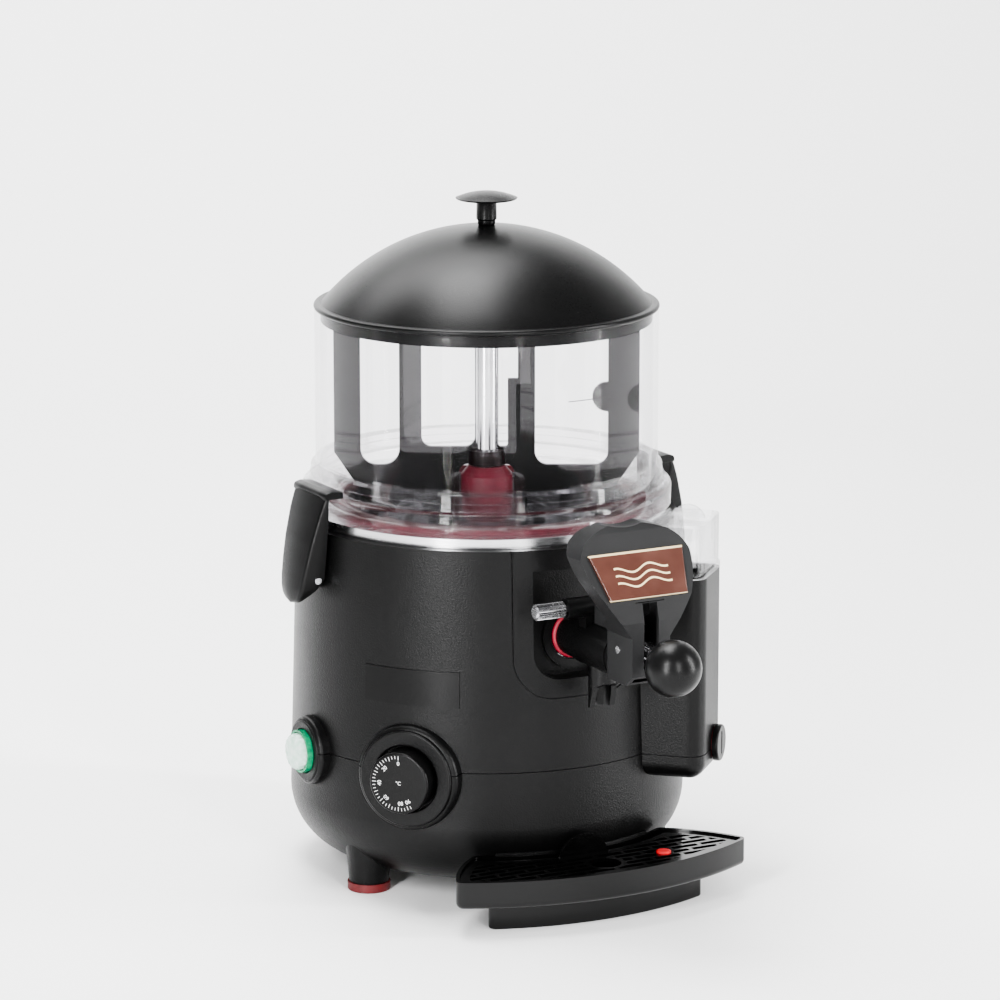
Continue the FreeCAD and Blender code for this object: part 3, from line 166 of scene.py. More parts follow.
class Finish:
    """One material: a Principled shader and the nodes that feed it."""

    def __init__(self, name, **constants):
        self.material = bpy.data.materials.new(name)
        self.material.use_nodes = True
        self.tree = self.material.node_tree
        self.shader = self.tree.nodes["Principled BSDF"]
        for key, value in constants.items():
            self.set(key.replace("_", " "), value)
        self.place = self.node("ShaderNodeTexCoord").get("Object")

    def set(self, name, value):
        plug(self.tree, self.shader.inputs[name], value)

    def node(self, kind, settings=None, **inputs):
        """Any node, by type, with its settings and inputs. Its outputs come from get."""
        made = self.tree.nodes.new(kind)
        for key, value in (settings or {}).items():
            setattr(made, key, value)
        for key, value in inputs.items():
            plug(self.tree, made.inputs[key.replace("_", " ")], value)
        return Outputs(self.tree, made)

    def noise(self, scale, detail=3.0, rough=0.5, place=None):
        """Noise with this many waves to the metre, over the object coordinates unless told."""
        made = self.node("ShaderNodeTexNoise", Vector=place or self.place, Scale=scale,
                         Detail=detail, Roughness=rough)
        return made.get(0)

    def stretched(self, x, y, z):
        """Object coordinates scaled along each axis, so a texture runs in streaks."""
        return self.node("ShaderNodeMapping", Vector=self.place, Scale=(x, y, z)).get(0)

    def axis(self, letter):
        """One of the object coordinates, by its letter."""
        return self.node("ShaderNodeSeparateXYZ", Vector=self.place).get("XYZ".index(letter))

    def mix(self, factor, first, second):
        """A colour between two others. The Mix node's colour sockets are reached by number."""
        made = self.node("ShaderNodeMix", {"data_type": "RGBA"})
        plug(self.tree, made.node.inputs[0], factor)
        plug(self.tree, made.node.inputs[6], first)
        plug(self.tree, made.node.inputs[7], second)
        return made.get(2)

    def ramp(self, value, low, high):
        """A noise value spread over the range from low to high."""
        made = self.node("ShaderNodeMapRange")
        for index, given in enumerate((value, noise_low, noise_high, low, high)):
            plug(self.tree, made.node.inputs[index], given)
        return made.get(0)

    def bump(self, height, distance):
        """Tilts the surface by a height, with the distance of its full depth in metres."""
        made = self.node("ShaderNodeBump", Height=height, Distance=distance, Strength=1.0)
        self.set("Normal", made.get(0))


class Outputs:
    """A node whose output sockets are reached by name or number."""

    def __init__(self, tree, node):
        self.tree = tree
        self.node = node

    def get(self, key):
        return Val(self.tree, self.node.outputs[key])


# Materials

def grained_black(name, tone, rough, grain, depth):
    """Moulded black plastic: a fine grain and a finer one 2.3 times as dense, over a faint cloud."""
    made = Finish(name, Specular_IOR_Level=0.2)
    cloud = made.noise(14.0, 4.0)
    fine = made.noise(grain, 2.0, 0.6)
    speck = made.noise(grain * 2.3, 1.0)
    dark = (tone, tone, tone * 1.04, 1.0)
    light = (tone * 1.9, tone * 1.9, tone * 1.95, 1.0)
    made.set("Base Color", made.mix(made.ramp(cloud * 0.6 + speck * 0.4, 0.0, 1.0), dark, light))
    made.set("Roughness", made.ramp(cloud * 0.5 + fine * 0.5, rough - 0.06, rough + 0.07))
    made.bump(fine * 0.7 + speck * 0.3, depth)
    return made.material


def gloss_black(name, tone, rough):
    """Polished black plastic with faint smears and fine dust."""
    made = Finish(name, Specular_IOR_Level=0.32)
    smear = made.noise(22.0, 5.0, 0.6)
    dust = made.noise(1400.0, 1.0)
    dark = (tone, tone, tone, 1.0)
    light = (tone * 2.2, tone * 2.2, tone * 2.3, 1.0)
    made.set("Base Color", made.mix(made.ramp(dust, 0.0, 0.5), dark, light))
    made.set("Roughness", made.ramp(smear, rough - 0.05, rough + 0.08))
    made.bump(made.noise(60.0, 3.0), 0.00008)
    return made.material


def polished_steel(name, rough, streak):
    """Drawn stainless steel: long fine streaks along the draw direction."""
    made = Finish(name, Metallic=1.0)
    lines = made.noise(1.0, 3.0, 0.6, made.stretched(*streak))
    cloud = made.noise(25.0, 3.0)
    dark = (0.58, 0.58, 0.6, 1.0)
    light = (0.78, 0.78, 0.79, 1.0)
    made.set("Base Color", made.mix(made.ramp(cloud, 0.0, 1.0), dark, light))
    made.set("Roughness", made.ramp(lines * 0.7 + cloud * 0.3, rough - 0.05, rough + 0.1))
    made.bump(lines, 0.00004)
    return made.material


def clear_plastic(name, tint, edge_tint, body_share, ring_top):
    """
    Clear moulded plastic: see through face on, glassy at a slant. The glassy share is half the slant
    to a power, plus the body's own share, plus a thick ring's share below the given height.
    """
    made = Finish(name, Transmission_Weight=1.0, IOR=1.4, Specular_IOR_Level=0.5)
    ripple = made.noise(22.0, 2.0)
    made.set("Base Color", made.mix(made.ramp(ripple, 0.0, 1.0), edge_tint, tint))
    made.set("Roughness", made.ramp(made.noise(9.0, 3.0), 0.0, 0.003))
    made.bump(ripple, 0.00003)
    through = made.node("ShaderNodeBsdfTransparent", Color=(0.985, 0.985, 0.988, 1.0))
    slant = made.node("ShaderNodeLayerWeight", Blend=0.32).get(1)
    slant_power = 3.2
    slant_share = 0.5
    ring_share = 0.34
    ring = 1.0 - made.axis("Z").above(ring_top, 0.001)
    share = slant.math("POWER", slant_power) * slant_share + body_share + ring * ring_share
    blend = made.node("ShaderNodeMixShader")
    tree = made.tree
    plug(tree, blend.node.inputs[0], share)
    tree.links.new(through.node.outputs[0], blend.node.inputs[1])
    tree.links.new(made.shader.outputs[0], blend.node.inputs[2])
    tree.links.new(blend.node.outputs[0], tree.nodes["Material Output"].inputs["Surface"])
    return made.material


def silicone(name, colour, deep):
    """Matt silicone rubber with small mottling."""
    made = Finish(name, Subsurface_Weight=0.05)
    mottle = made.noise(160.0, 3.0)
    made.set("Base Color", made.mix(made.ramp(mottle, 0.0, 1.0), colour, deep))
    made.set("Roughness", made.ramp(mottle, 0.42, 0.6))
    made.bump(made.noise(900.0, 2.0), 0.00005)
    return made.material


def tinted_lens(name, colour, glow):
    """Coloured translucent plastic with inner mottling."""
    made = Finish(name, Transmission_Weight=0.35, IOR=1.45)
    mottle = made.noise(220.0, 3.0)
    made.set("Base Color", made.mix(made.ramp(mottle, 0.0, 1.0), colour, glow))
    made.set("Roughness", made.ramp(mottle, 0.08, 0.25))
    made.bump(mottle, 0.0002)
    return made.material


def plain_metal(name, colour, rough):
    """Cast or plated metal with light mottling."""
    made = Finish(name, Metallic=0.9)
    mottle = made.noise(120.0, 4.0)
    shade = tuple(channel * 0.7 for channel in colour[:3]) + (1.0,)
    made.set("Base Color", made.mix(made.ramp(mottle, 0.0, 1.0), shade, colour))
    made.set("Roughness", made.ramp(mottle, rough - 0.08, rough + 0.1))
    made.bump(made.noise(700.0, 2.0), 0.00006)
    return made.material


def label_finish():
    """
    Brown glossy plate with a cream line at the top and foot and three cream waves. A wave's height is
    the sum of a quick small sine and a slow one of X, and the stroke is where Z lies close to it.
    """
    made = Finish("label_brown", Coat_Weight=0.4)
    x = made.axis("X")
    z = made.axis("Z")
    low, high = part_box("label_plate")
    middle = (low[2] + high[2]) / 2.0
    line_height = 0.0012
    line_share = 0.8
    wave_half = 0.02
    wave_pitch = 0.0042
    stroke_half = 0.00055
    cloud = made.noise(40.0, 4.0)
    dark = (0.062, 0.021, 0.014, 1.0)
    light = (0.085, 0.03, 0.02, 1.0)
    cream = (0.72, 0.58, 0.36, 1.0)
    brown = made.mix(made.ramp(cloud, 0.0, 1.0), dark, light)
    wave = (x * 260.0).math("SINE") * 0.0016 + (x * 90.0).math("SINE") * 0.0008
    marks = (1.0 - z.band(low[2] + line_height, high[2] - line_height)) * line_share
    for shift in (-wave_pitch, 0.0, wave_pitch):
        line = (z - wave - (middle + shift)).math("ABSOLUTE")
        marks = marks + (1.0 - line.above(stroke_half)) * x.band(-wave_half, wave_half)
    made.set("Base Color", made.mix(marks.math("ADD", 0.0, clamp=True), brown, cream))
    made.set("Roughness", made.ramp(cloud, 0.14, 0.24))
    made.bump(made.noise(300.0, 2.0), 0.00003)
    return made.material


shell_black = grained_black("shell_black", tone=0.0018, rough=0.33, grain=850.0, depth=0.00030)
lid_black = grained_black("lid_black", tone=0.0018, rough=0.3, grain=1100.0, depth=0.00012)
tap_black = grained_black("tap_black", tone=0.003, rough=0.3, grain=1900.0, depth=0.00005)
shield_black = grained_black("shield_black", tone=0.011, rough=0.42, grain=1500.0, depth=0.00009)
tray_black = gloss_black("tray_black", tone=0.0012, rough=0.12)
plate_black = grained_black("plate_black", tone=0.0008, rough=0.3, grain=2400.0, depth=0.00002)
paddle_black = grained_black("paddle_black", tone=0.001, rough=0.42, grain=2400.0, depth=0.00003)
shaft_steel = polished_steel("shaft_steel", rough=0.12, streak=(900.0, 900.0, 14.0))
pan_steel = polished_steel("pan_steel", rough=0.2, streak=(60.0, 60.0, 900.0))
small_steel = polished_steel("small_steel", rough=0.22, streak=(500.0, 40.0, 500.0))
clear = clear_plastic("clear_bowl", tint=(0.97, 0.96, 0.98, 1.0), edge_tint=(0.86, 0.8, 0.86, 1.0),
                      body_share=0.05, ring_top=0.2825)
clear_cap = clear_plastic("clear_cap", tint=(0.96, 0.96, 0.97, 1.0), edge_tint=(0.9, 0.9, 0.92, 1.0),
                          body_share=0.26, ring_top=0.0)
red = silicone("red_silicone", colour=(0.3, 0.012, 0.03, 1.0), deep=(0.2, 0.008, 0.02, 1.0))
pad_red = silicone("pad_rubber", colour=(0.13, 0.006, 0.008, 1.0), deep=(0.08, 0.004, 0.005, 1.0))
gasket_red = silicone("gasket_red", colour=(0.11, 0.008, 0.018, 1.0), deep=(0.07, 0.006, 0.013, 1.0))
green = tinted_lens("green_lens", colour=(0.0, 0.2, 0.09, 1.0), glow=(0.02, 0.42, 0.2, 1.0))
pale = tinted_lens("pale_lens", colour=(0.5, 0.75, 0.62, 1.0), glow=(0.85, 0.95, 0.9, 1.0))
level_ink = silicone("level_ink", colour=(0.02, 0.02, 0.02, 1.0), deep=(0.04, 0.04, 0.04, 1.0))
float_red = silicone("float_red", colour=(0.7, 0.01, 0.012, 1.0), deep=(0.5, 0.006, 0.01, 1.0))
white_ink = silicone("white_ink", colour=(0.82, 0.82, 0.82, 1.0), deep=(0.7, 0.7, 0.7, 1.0))
bronze = plain_metal("bronze", colour=(0.5, 0.34, 0.16, 1.0), rough=0.35)
motor_grey = plain_metal("motor_grey", colour=(0.22, 0.23, 0.24, 1.0), rough=0.5)
case_cream = silicone("case_cream", colour=(0.55, 0.52, 0.42, 1.0), deep=(0.45, 0.42, 0.34, 1.0))
label_brown = label_finish()

# The CAD nodes that each material covers
finishes = {
    shell_black: ("upper_housing", "lower_housing", "dial_collar", "switch_collar", "tray_bracket"),
    paddle_black: ("agitator",),
    lid_black: ("lid", "lid_knob", "latch_left", "latch_right", "thermostat_knob"),
    tap_black: ("tap_body", "tap_piston", "drain_plug", "cable_gland", "ball_knob"),
    shield_black: ("tap_shield",),
    tray_black: ("drip_tray", "tray_grid"),
    plate_black: ("name_plate",),
    shaft_steel: ("drive_shaft",),
    pan_steel: ("product_pan", "water_tank"),
    small_steel: ("heating_element", "knob_screw", "agitator_screw", "base_screws", "latch_pins",
                  "lever_pin", "thumb_screw", "motor_bracket", "thermostat_spindle",
                  "temperature_probe", "drive_coupling", "tap_lever"),
    clear: ("bowl",),
    clear_cap: ("water_cap",),
    gasket_red: ("pan_gasket", "shaft_seal"),
    red: ("tap_o_ring", "tank_seal", "piston_seal", "drain_seal"),
    pad_red: ("foot_pads",),
    green: ("switch_body",),
    pale: ("switch_button",),
    float_red: ("tray_float",),
    bronze: ("shaft_bushes",),
    motor_grey: ("gear_motor",),
    case_cream: ("thermostat_body",),
    label_brown: ("label_plate",),
}
for material, names in finishes.items():
    for name in names:
        for slot in nodes[name].material_slots:
            slot.link = "OBJECT"
            slot.material = material


# Mesh helpers

def mesh_object(name, points, faces, material, body):
    """A smooth shaded object with sharp edges kept, riding on the named body."""
    mesh = bpy.data.meshes.new(name)
    mesh.from_pydata(points.tolist(), [], faces)
    mesh.update()
    made = bpy.data.objects.new(name, mesh)
    bpy.context.scene.collection.objects.link(made)
    mesh.materials.append(material)
    mesh.shade_smooth()
    mesh.set_sharp_from_angle(angle=math.radians(sharp_angle))
    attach(made, body)
    return made


def read_points(mesh):
    """The points of a mesh as one array with a row for each."""
    flat = np.empty(len(mesh.vertices) * 3)
    mesh.vertices.foreach_get("co", flat)
    return flat.reshape(-1, 3)


def rounded(corners, steps=6):
    """
    A closed outline whose corners (r, z, radius) are turned by arcs of that radius. Each arc goes from
    its start arm to its end arm, weighted by the sine of the angle left and the sine of the angle done.
    """
    outline = []
    count = len(corners)
    for index in range(count):
        here = np.array(corners[index][:2])
        radius = corners[index][2]
        before = np.array(corners[index - 1][:2]) - here
        after = np.array(corners[(index + 1) % count][:2]) - here
        before = before / np.linalg.norm(before)
        after = after / np.linalg.norm(after)
        half = math.acos(float(np.clip(before @ after, -1.0, 1.0))) / 2.0
        inward = (before + after) / np.linalg.norm(before + after)
        centre = here + inward * radius / math.sin(half)
        reach = radius / math.tan(half)
        start = here + before * reach - centre
        end = here + after * reach - centre
        share = np.linspace(0.0, 1.0, steps)[:, None]
        spread = math.pi - 2.0 * half
        left = np.sin((1.0 - share) * spread)
        done = np.sin(share * spread)
        outline.extend(centre + (left * start + done * end) / math.sin(spread))
    return np.array(outline)


def arc_points(top, edge_r, rise, count):
    """
    A circular arc from the axis at height top to the radius edge_r, falling by rise. At the angle t the
    point is R sin t out and R less R cos t below the top, with R from the chord and the rise.
    """
    radius = (edge_r ** 2 + rise ** 2) / (2.0 * rise)
    turn = np.linspace(0.0, math.asin(edge_r / radius), count)
    return np.stack([radius * np.sin(turn), top - radius + radius * np.cos(turn)], axis=1)


def lathe(name, outline, material, body, closed=True, steps=round_steps):
    """The outline (r, z) turned once round Z: at the angle t the point is (r cos t, r sin t, z)."""
    turn = np.linspace(0.0, 2.0 * math.pi, steps, endpoint=False)
    radius = outline[:, :1]
    height = np.repeat(outline[:, 1:], steps, axis=1)
    points = np.stack([radius * np.cos(turn), radius * np.sin(turn), height], axis=-1).reshape(-1, 3)
    rows = len(outline)
    along = np.arange(rows if closed else rows - 1)[:, None]
    around = np.arange(steps)[None, :]
    ahead = (along + 1) % rows
    beside = (around + 1) % steps
    faces = np.stack([along * steps + around, along * steps + beside, ahead * steps + beside,
                      ahead * steps + around], axis=-1).reshape(-1, 4)
    return weld(mesh_object(name, points, faces.tolist(), material, body))


def stand(made, centre, along, side):
    """
    Lays a piece made round Z along a line. The new point is the centre, plus the old X times the side,
    the old Y times the line square to both, and the old Z times the line.
    """
    along = along / np.linalg.norm(along)
    up = np.cross(along, side)
    points = read_points(made.data)
    placed = points[:, :1] * side + points[:, 1:2] * up + points[:, 2:] * along + centre
    made.data.vertices.foreach_set("co", placed.reshape(-1))
    weld(made)


def weld(made):
    """Joins points that share a place, so a pole is one point, and turns every face outward."""
    work = bmesh.new()
    work.from_mesh(made.data)
    bmesh.ops.remove_doubles(work, verts=work.verts, dist=weld_reach)
    bmesh.ops.recalc_face_normals(work, faces=work.faces)
    work.to_mesh(made.data)
    work.free()
    made.data.shade_smooth()
    made.data.set_sharp_from_angle(angle=math.radians(sharp_angle))
    return made


def tube_faces(first, rows, count):
    """Quads of a closed loop of count points carried over rows, with a face on each end."""
    row = np.arange(rows - 1)[:, None]
    step = np.arange(count)[None, :]
    beside = (step + 1) % count
    quads = np.stack([row * count + step, row * count + beside, (row + 1) * count + beside,
                      (row + 1) * count + step], axis=-1).reshape(-1, 4) + first
    faces = quads.tolist()
    faces.append((np.arange(count)[::-1] + first).tolist())
    faces.append((np.arange(count) + first + (rows - 1) * count).tolist())
    return faces


# Pieces that stand for a CAD node with a finer surface

def clear_bowl():
    """
    Clear bowl: a rounded outline turned round Z. From the bottom it has a broad flange, a ring set in
    from it, a shoulder against the wall and a straight wall, with a thick sloped floor inside.
    """
    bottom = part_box("bowl")[0][2]
    flange_r, _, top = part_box("bowl")[1]
    gasket_r, _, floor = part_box("pan_gasket")[1]
    wall_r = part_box("lid")[1][0] - lid_overhang
    inner_r = wall_r - bowl_wall
    mouth_r = gasket_r - 0.008
    step_r = gasket_r + 0.002
    ring_r = flange_r - 0.0055
    shoulder_r = wall_r + 0.0030
    flange_top = bottom + 0.0165
    ring_top = bottom + 0.0222
    shoulder_top = bottom + 0.0272
    wall_start = bottom + 0.0300
    fillet = bottom + 0.0150
    floor_edge = bottom + 0.0095
    corners = [
        (step_r, bottom, 0.0003),
        (flange_r, bottom, 0.0012),
        (flange_r, flange_top, 0.0045),
        (ring_r + 0.0003, flange_top + 0.0005, 0.0008),
        (ring_r, ring_top, 0.0012),
        (shoulder_r + 0.0002, ring_top + 0.0004, 0.0006),
        (shoulder_r, shoulder_top, 0.0014),
        (wall_r, wall_start, 0.0015),
        (wall_r, top, 0.0010),
        (inner_r, top, 0.0010),
        (inner_r, fillet, 0.0040),
        (mouth_r, floor_edge, 0.0015),
        (mouth_r, floor, 0.0008),
        (step_r, floor, 0.0003),
    ]
    made = lathe("bowl_clear", rounded(corners), clear, "base")
    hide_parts("bowl")


def domed_lid():
    """
    Spun dome: two circular arcs a sheet apart, turned round Z. A half circle makes the bead of the
    brim, and a thin skirt hangs inside the bowl.
    """
    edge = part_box("lid")[1][0]
    skirt_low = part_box("lid")[0][2]
    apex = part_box("lid_knob")[0][2] - 0.00001
    bowl_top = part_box("bowl")[1][2]
    sheet = 0.0022
    brim = bowl_top + 0.0036
    dome_r = edge - 0.0053
    inner_dome_r = dome_r - 0.0026
    skirt_r = edge - bowl_wall - 0.0012
    outer = arc_points(apex, dome_r, apex - brim, 48)[::-1]
    inner = arc_points(apex - sheet, inner_dome_r, apex - brim, 48)
    bead_mid = (brim + bowl_top) / 2.0
    bead_r = (brim - bowl_top) / 2.0
    turn = np.linspace(-math.pi / 2.0, math.pi / 2.0, 14)
    bead = np.stack([edge - bead_r + bead_r * np.cos(turn), bead_mid + bead_r * np.sin(turn)], axis=1)
    skirt = np.array([
        (skirt_r - sheet, brim - sheet),
        (skirt_r - sheet, skirt_low),
        (skirt_r, skirt_low),
        (skirt_r, bowl_top + 0.00005),
    ])
    outline = np.concatenate([inner, skirt, bead, outer])
    made = lathe("lid_dome", outline, lid_black, "lid_assembly", closed=False)
    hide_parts("lid")


def mushroom_knob():
    """Knob of the lid: a waisted neck and a rolled rim, closed by a circular arc, turned round Z."""
    low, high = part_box("lid_knob")
    cap_r = high[0]
    base = low[2]
    top = high[2]
    neck_r = 0.0060
    waist_r = 0.0070
    rim = top - 0.0048
    rim_lip = 0.0008
    cap = arc_points(top, cap_r - 0.0011, top - rim - rim_lip, 24)[::-1]
    neck = np.array([
        (0.0, base),
        (neck_r - 0.0006, base),
        (neck_r, base + 0.0010),
        (neck_r, base + 0.0032),
        (waist_r - 0.0001, base + 0.0042),
        (waist_r, base + 0.0060),
        (waist_r - 0.0002, rim - 0.0030),
        (waist_r + 0.0008, rim - 0.0012),
        (neck_r * 2.0, rim - 0.0006),
        (cap_r - 0.0015, rim - rim_lip),
        (cap_r - 0.0004, rim - 0.0003),
        (cap_r, rim + 0.0004),
    ])
    made = lathe("lid_knob_cap", np.concatenate([neck, cap]), lid_black, "lid_assembly",
                 closed=False, steps=small_steps)
    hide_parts("lid_knob")


def round_ball():
    """Ball of the tap handle: a half circle turned once, cut flat a little where the arm enters."""
    low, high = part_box("ball_knob")
    radius = (high[0] - low[0]) / 2.0
    flat_share = 0.955
    centre = np.array([0.0, low[1] + radius, (low[2] + high[2]) / 2.0])
    turn = np.linspace(0.0, math.pi, 48)
    height = np.maximum(-radius * np.cos(turn), -radius * flat_share)
    outline = np.stack([radius * np.sin(turn), height], axis=1)
    made = lathe("ball_grip", outline, tap_black, "tap_handle", closed=False, steps=small_steps)
    stand(made, centre, centre - np.array(lever_pivot), np.array([1.0, 0.0, 0.0]))
    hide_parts("ball_knob")


def latch_sleeve(side, height):
    """
    The U shaped section of a latch carried up Z, with one row of points at each height. The face, the
    back and the half width follow the stations in straight steps. Each front corner is a quarter
    circle, and the face crowns by one less the square of the share across.
    """
    levels, face, back, half = np.array(latch_stations).T / 1000.0
    face = np.interp(height, levels, face)[:, None]
    back = np.interp(height, levels, back)[:, None]
    half = np.interp(height, levels, half)[:, None]
    bend = np.linspace(0.0, math.pi / 2.0, 6)
    across = np.linspace(-1.0, 1.0, 13)[1:-1]
    corner_reach = face - latch_corner + latch_corner * np.sin(bend)
    corner_width = half - latch_corner + latch_corner * np.cos(bend)
    front_reach = face + latch_crown * (1.0 - across ** 2)
    front_width = (half - latch_corner) * across
    inner_face = face - latch_sheet
    inner_half = half - latch_sheet
    reach = np.hstack([back, corner_reach, front_reach, corner_reach[:, ::-1], back,
                       back, inner_face, inner_face, back])
    width = np.hstack([-half, -corner_width, front_width, corner_width[:, ::-1], half,
                       inner_half, inner_half, -inner_half, -inner_half])
    level = np.repeat(height[:, None], reach.shape[1], axis=1)
    return np.stack([side * reach, width, level], axis=-1)


def latch_hook(side):
    """The rounded hook outline (x, z) carried along Y, drawn in towards its middle at both ends."""
    outline = rounded(hook_corners)
    middle = outline.mean(axis=0)
    ends = np.array([-24.0, -23.4, -12.0, 0.0, 12.0, 23.4, 24.0]) / 1000.0
    scale = np.ones(len(ends))
    scale[[0, -1]] = 0.952
    loops = middle + (outline - middle) * scale[:, None, None]
    place = np.repeat(ends[:, None], len(outline), axis=1)
    return np.stack([side * loops[..., 0], place, loops[..., 1]], axis=-1)


def latch_shell(side, node, body):
    """A latch: the U shaped sleeve with the flat hook over its top, joined into one mesh."""
    sleeve = latch_sleeve(side, np.linspace(0.1975, 0.2712, 44))
    hook = latch_hook(side)
    points = np.concatenate([sleeve.reshape(-1, 3), hook.reshape(-1, 3)])
    faces = tube_faces(0, *sleeve.shape[:2]) + tube_faces(sleeve.size // 3, *hook.shape[:2])
    made = mesh_object("latch_shell_" + body[-1], points, faces, lid_black, body)
    weld(made)
    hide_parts(node)


def fluted_boot():
    """
    Soft clear cap of the switch: a shallow dome turned once, whose radius then shrinks by a share that
    grows with the square of the radius and follows the cosine of sixteen times the turn.
    """
    low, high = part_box("switch_button")
    face = -low[0]
    edge = (high[1] - low[1]) / 2.0
    root = -high[0]
    flutes = 16
    flute_depth = 0.05
    outline = np.array([
        (0.0, root),
        (edge, root),
        (edge, face - 0.0055),
        (edge * 0.97, face - 0.0030),
        (edge * 0.88, face - 0.0014),
        (edge * 0.62, face - 0.0006),
        (edge * 0.30, face - 0.0001),
        (0.0, face),
    ])
    made = lathe("switch_boot", outline, pale, "switch", closed=False, steps=flutes * 10)
    points = read_points(made.data)
    radius = np.hypot(points[:, 0], points[:, 1])
    turn = np.arctan2(points[:, 1], points[:, 0])
    flute = 1.0 - flute_depth * (radius / edge) ** 2 * (0.5 + 0.5 * np.cos(flutes * turn))
    points[:, :2] *= flute[:, None]
    made.data.vertices.foreach_set("co", points.reshape(-1))
    stand(made, np.array([0.0, 0.0, (low[2] + high[2]) / 2.0]), np.array([-1.0, 0.0, 0.0]),
          np.array([0.0, 1.0, 0.0]))
    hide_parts("switch_button")


def level_line():
    """A dark stroke on the bowl wall: a small box section (r, z) carried along an arc round Z."""
    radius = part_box("lid")[1][0] - lid_overhang
    sunk = radius - 0.0001
    proud = radius + 0.00012
    low = 0.3400
    high = 0.3405
    turn = np.radians(np.linspace(-91.0, -74.0, 24))[:, None]
    loop = np.array([(sunk, low), (proud, low), (proud, high), (sunk, high)])
    height = np.repeat(loop[None, :, 1], len(turn), axis=0)
    points = np.stack([np.cos(turn) * loop[:, 0], np.sin(turn) * loop[:, 0], height], axis=-1)
    faces = tube_faces(0, len(turn), len(loop))
    made = mesh_object("level_line", points.reshape(-1, 3), faces, level_ink, "base")
    weld(made)


# Dial marks

def dial_frame():
    """The middle of the dial face, the way out of it, the way right along it and the way up."""
    turn = math.radians(dial_turn)
    out = np.array([math.cos(turn), math.sin(turn), 0.0])
    right = np.array([-math.sin(turn), math.cos(turn), 0.0])
    up = np.array([0.0, 0.0, 1.0])
    return out * dial_reach + up * dial_height, out, right, up


def dial_angle(value):
    """Where a value lies on the dial, in degrees from the right, rising against the clock."""
    return dial_start + dial_sweep * value / dial_full


def dial_ticks():
    """
    Thin raised strokes round the dial face, evenly spaced in value. Each is a box whose points are the
    centre, plus a reach along its spoke, a side step across it and a height out of the face.
    """
    centre, out, right, up = dial_frame()
    angle = np.radians(dial_angle(np.linspace(0.0, dial_full, tick_count)))[:, None]
    spoke = (np.cos(angle) * right + np.sin(angle) * up)[:, None, :]
    cross = (np.cos(angle) * up - np.sin(angle) * right)[:, None, :]
    near = np.where(np.arange(tick_count) % long_tick_every == 0, long_tick_r, short_tick_r)
    far = np.full(tick_count, tick_rim_r)
    reach = np.tile(np.stack([near, far, far, near], axis=1), 2)[:, :, None]
    across = np.tile([-tick_half, -tick_half, tick_half, tick_half], 2)[None, :, None]
    height = np.repeat([-0.00005, 0.00012], 4)[None, :, None]
    points = centre + spoke * reach + cross * across + out * height
    box = np.array([(3, 2, 1, 0), (4, 5, 6, 7), (0, 1, 5, 4), (1, 2, 6, 5), (2, 3, 7, 6), (3, 0, 4, 7)])
    faces = (box + 8 * np.arange(tick_count)[:, None, None]).reshape(-1, 4)
    made = mesh_object("dial_ticks", points.reshape(-1, 3), faces.tolist(), white_ink, "dial")


def text_mesh(name, text, size):
    """The mesh of a short text centred on its origin, with a slight thickness."""
    curve = bpy.data.curves.new(name, "FONT")
    curve.body = text
    curve.size = size
    curve.align_x = "CENTER"
    curve.align_y = "CENTER"
    curve.extrude = 0.00008
    holder = bpy.data.objects.new(name, curve)
    bpy.context.scene.collection.objects.link(holder)
    bpy.context.view_layer.update()
    ready = holder.evaluated_get(bpy.context.evaluated_depsgraph_get())
    mesh = bpy.data.meshes.new_from_object(ready)
    bpy.data.objects.remove(holder)
    return mesh


def dial_number(name, text, angle, reach, size):
    """
    A plain number laid on the dial face, upright towards the rim. Its point is the centre, plus the
    reach along the spoke, its X across the spoke, its Y along it and its Z out of the face.
    """
    centre, out, right, up = dial_frame()
    mesh = text_mesh(name, text, size)
    flat = read_points(mesh)
    turn = math.radians(angle)
    spoke = math.cos(turn) * right + math.sin(turn) * up
    across = math.sin(turn) * right - math.cos(turn) * up
    lift = flat[:, 2:] + 0.00006
    place = centre + spoke * (reach + flat[:, 1:2]) + across * flat[:, :1] + out * lift
    mesh.vertices.foreach_set("co", place.reshape(-1))
    made = bpy.data.objects.new(name, mesh)
    bpy.context.scene.collection.objects.link(made)
    mesh.materials.clear()
    mesh.materials.append(white_ink)
    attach(made, "dial")


# Stage, light and camera

def stage():
    """
    Pale seamless floor: a flat run, a quarter circle and an upright, carried across the view. The
    profile (depth, height) is turned about Z so that it faces the camera.
    """
    back = 2.4
    bend = 0.9
    turn = np.linspace(0.0, math.pi / 2.0, 24)
    depth = np.concatenate([[-3.0], back - bend + bend * np.sin(turn), [back]])
    height = np.concatenate([[0.0], bend - bend * np.cos(turn), [3.0]])
    width = np.array([-4.0, 4.0])[:, None]
    swing = math.radians(camera_turn)
    x = width * math.cos(swing) - depth * math.sin(swing)
    y = width * math.sin(swing) + depth * math.cos(swing)
    points = np.stack([x, y, np.broadcast_to(height, x.shape)], axis=-1).reshape(-1, 3)
    count = len(depth)
    step = np.arange(count - 1)
    faces = np.stack([step, step + count, step + count + 1, step + 1], axis=1)
    mesh = bpy.data.meshes.new("floor")
    mesh.from_pydata(points.tolist(), [], faces.tolist())
    mesh.shade_smooth()
    made = bpy.data.objects.new("floor", mesh)
    bpy.context.scene.collection.objects.link(made)
    paper = Finish("floor_paper", Specular_IOR_Level=0.1)
    cloud = paper.noise(3.0, 2.0)
    paper.set("Base Color", paper.mix(cloud, (0.93, 0.93, 0.93, 1.0), (0.96, 0.96, 0.96, 1.0)))
    paper.set("Roughness", paper.ramp(cloud, 0.7, 0.8))
    mesh.materials.append(paper.material)


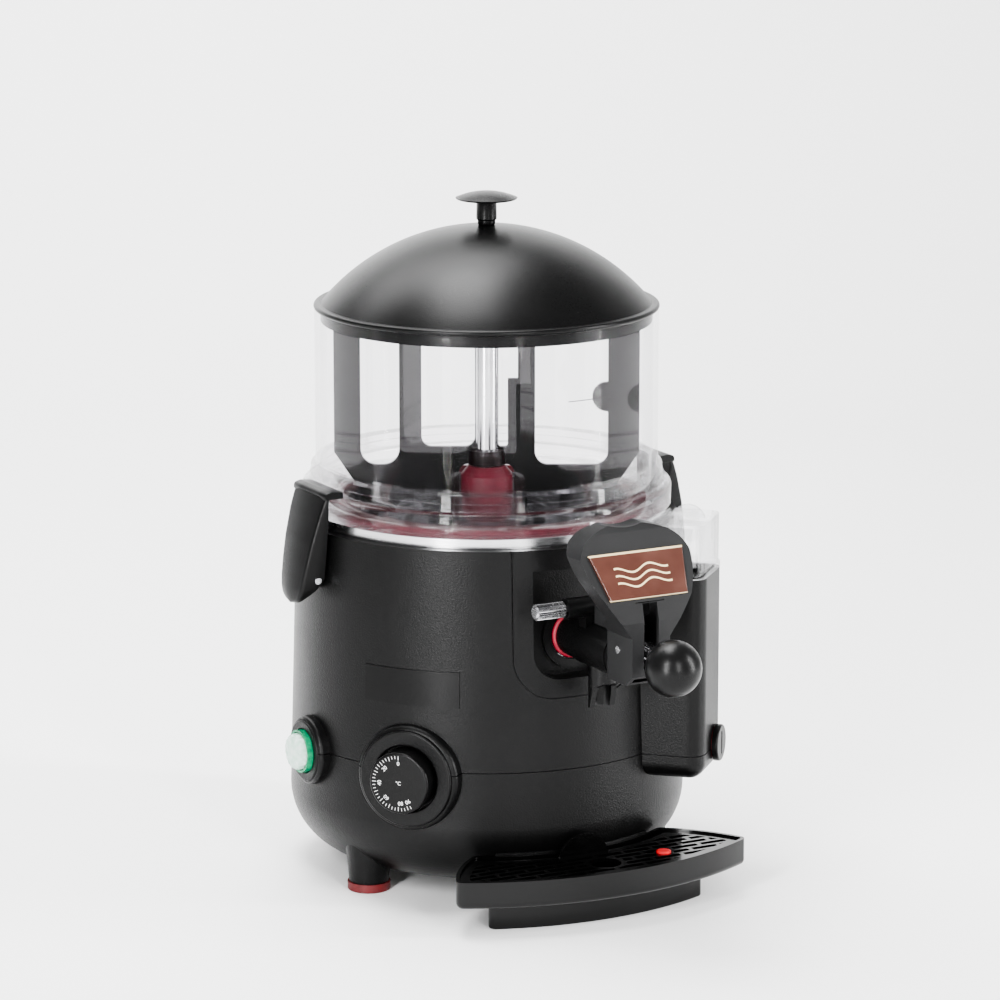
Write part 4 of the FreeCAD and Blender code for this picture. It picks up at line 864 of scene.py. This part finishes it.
def softbox(name, place, target, width, height, power):
    """A rectangular area light at a place, aimed at a target, with its power in watts."""
    light = bpy.data.lights.new(name, "AREA")
    light.shape = "RECTANGLE"
    light.size = width
    light.size_y = height
    light.energy = power
    made = bpy.data.objects.new(name, light)
    bpy.context.scene.collection.objects.link(made)
    aim = mathutils.Vector(target) - mathutils.Vector(place)
    made.location = place
    made.rotation_euler = aim.to_track_quat("-Z", "Y").to_euler()


def lights():
    """Three upright strips round the front, a box above, one behind and an even white world."""
    middle = (0.0, 0.0, 0.25)
    softbox("strip_left", (-1.5, -1.1, 0.7), middle, 0.2, 1.5, 52.0)
    softbox("strip_front", (-0.3, -2.3, 0.9), middle, 0.18, 1.3, 32.0)
    softbox("strip_right", (1.35, -1.2, 0.7), middle, 0.16, 1.5, 40.0)
    softbox("top", (-0.2, 0.1, 1.7), (0.0, 0.0, 0.3), 0.8, 0.6, 24.0)
    softbox("back", (-0.2, 1.3, 2.2), (0.4, 1.9, 0.0), 2.4, 1.4, 85.0)
    world = bpy.data.worlds.new("studio")
    world.use_nodes = True
    sky = world.node_tree.nodes["Background"]
    sky.inputs["Color"].default_value = (1.0, 1.0, 1.0, 1.0)
    sky.inputs["Strength"].default_value = 0.4
    bpy.context.scene.world = world
    bpy.context.scene.view_settings.look = "AgX - Medium High Contrast"


def camera():
    """The camera of the reference view."""
    data = bpy.data.cameras.new("camera")
    data.lens = camera_lens
    data.sensor_width = camera_sensor
    made = bpy.data.objects.new("camera", data)
    bpy.context.scene.collection.objects.link(made)
    made.location = camera_place
    made.rotation_euler = (math.radians(90.0 - camera_dip), 0.0, math.radians(camera_turn))
    bpy.context.scene.camera = made


clear_bowl()
domed_lid()
mushroom_knob()
round_ball()
latch_shell(1.0, "latch_right", "latch_r")
latch_shell(-1.0, "latch_left", "latch_l")
fluted_boot()
level_line()
dial_ticks()
for number in dial_numbers:
    dial_number("dial_number_" + str(number), str(number), dial_angle(number), number_r, number_size)
dial_number("dial_unit", "\u00b0C", dial_start, 0.0, unit_size)
stage()
lights()
camera()
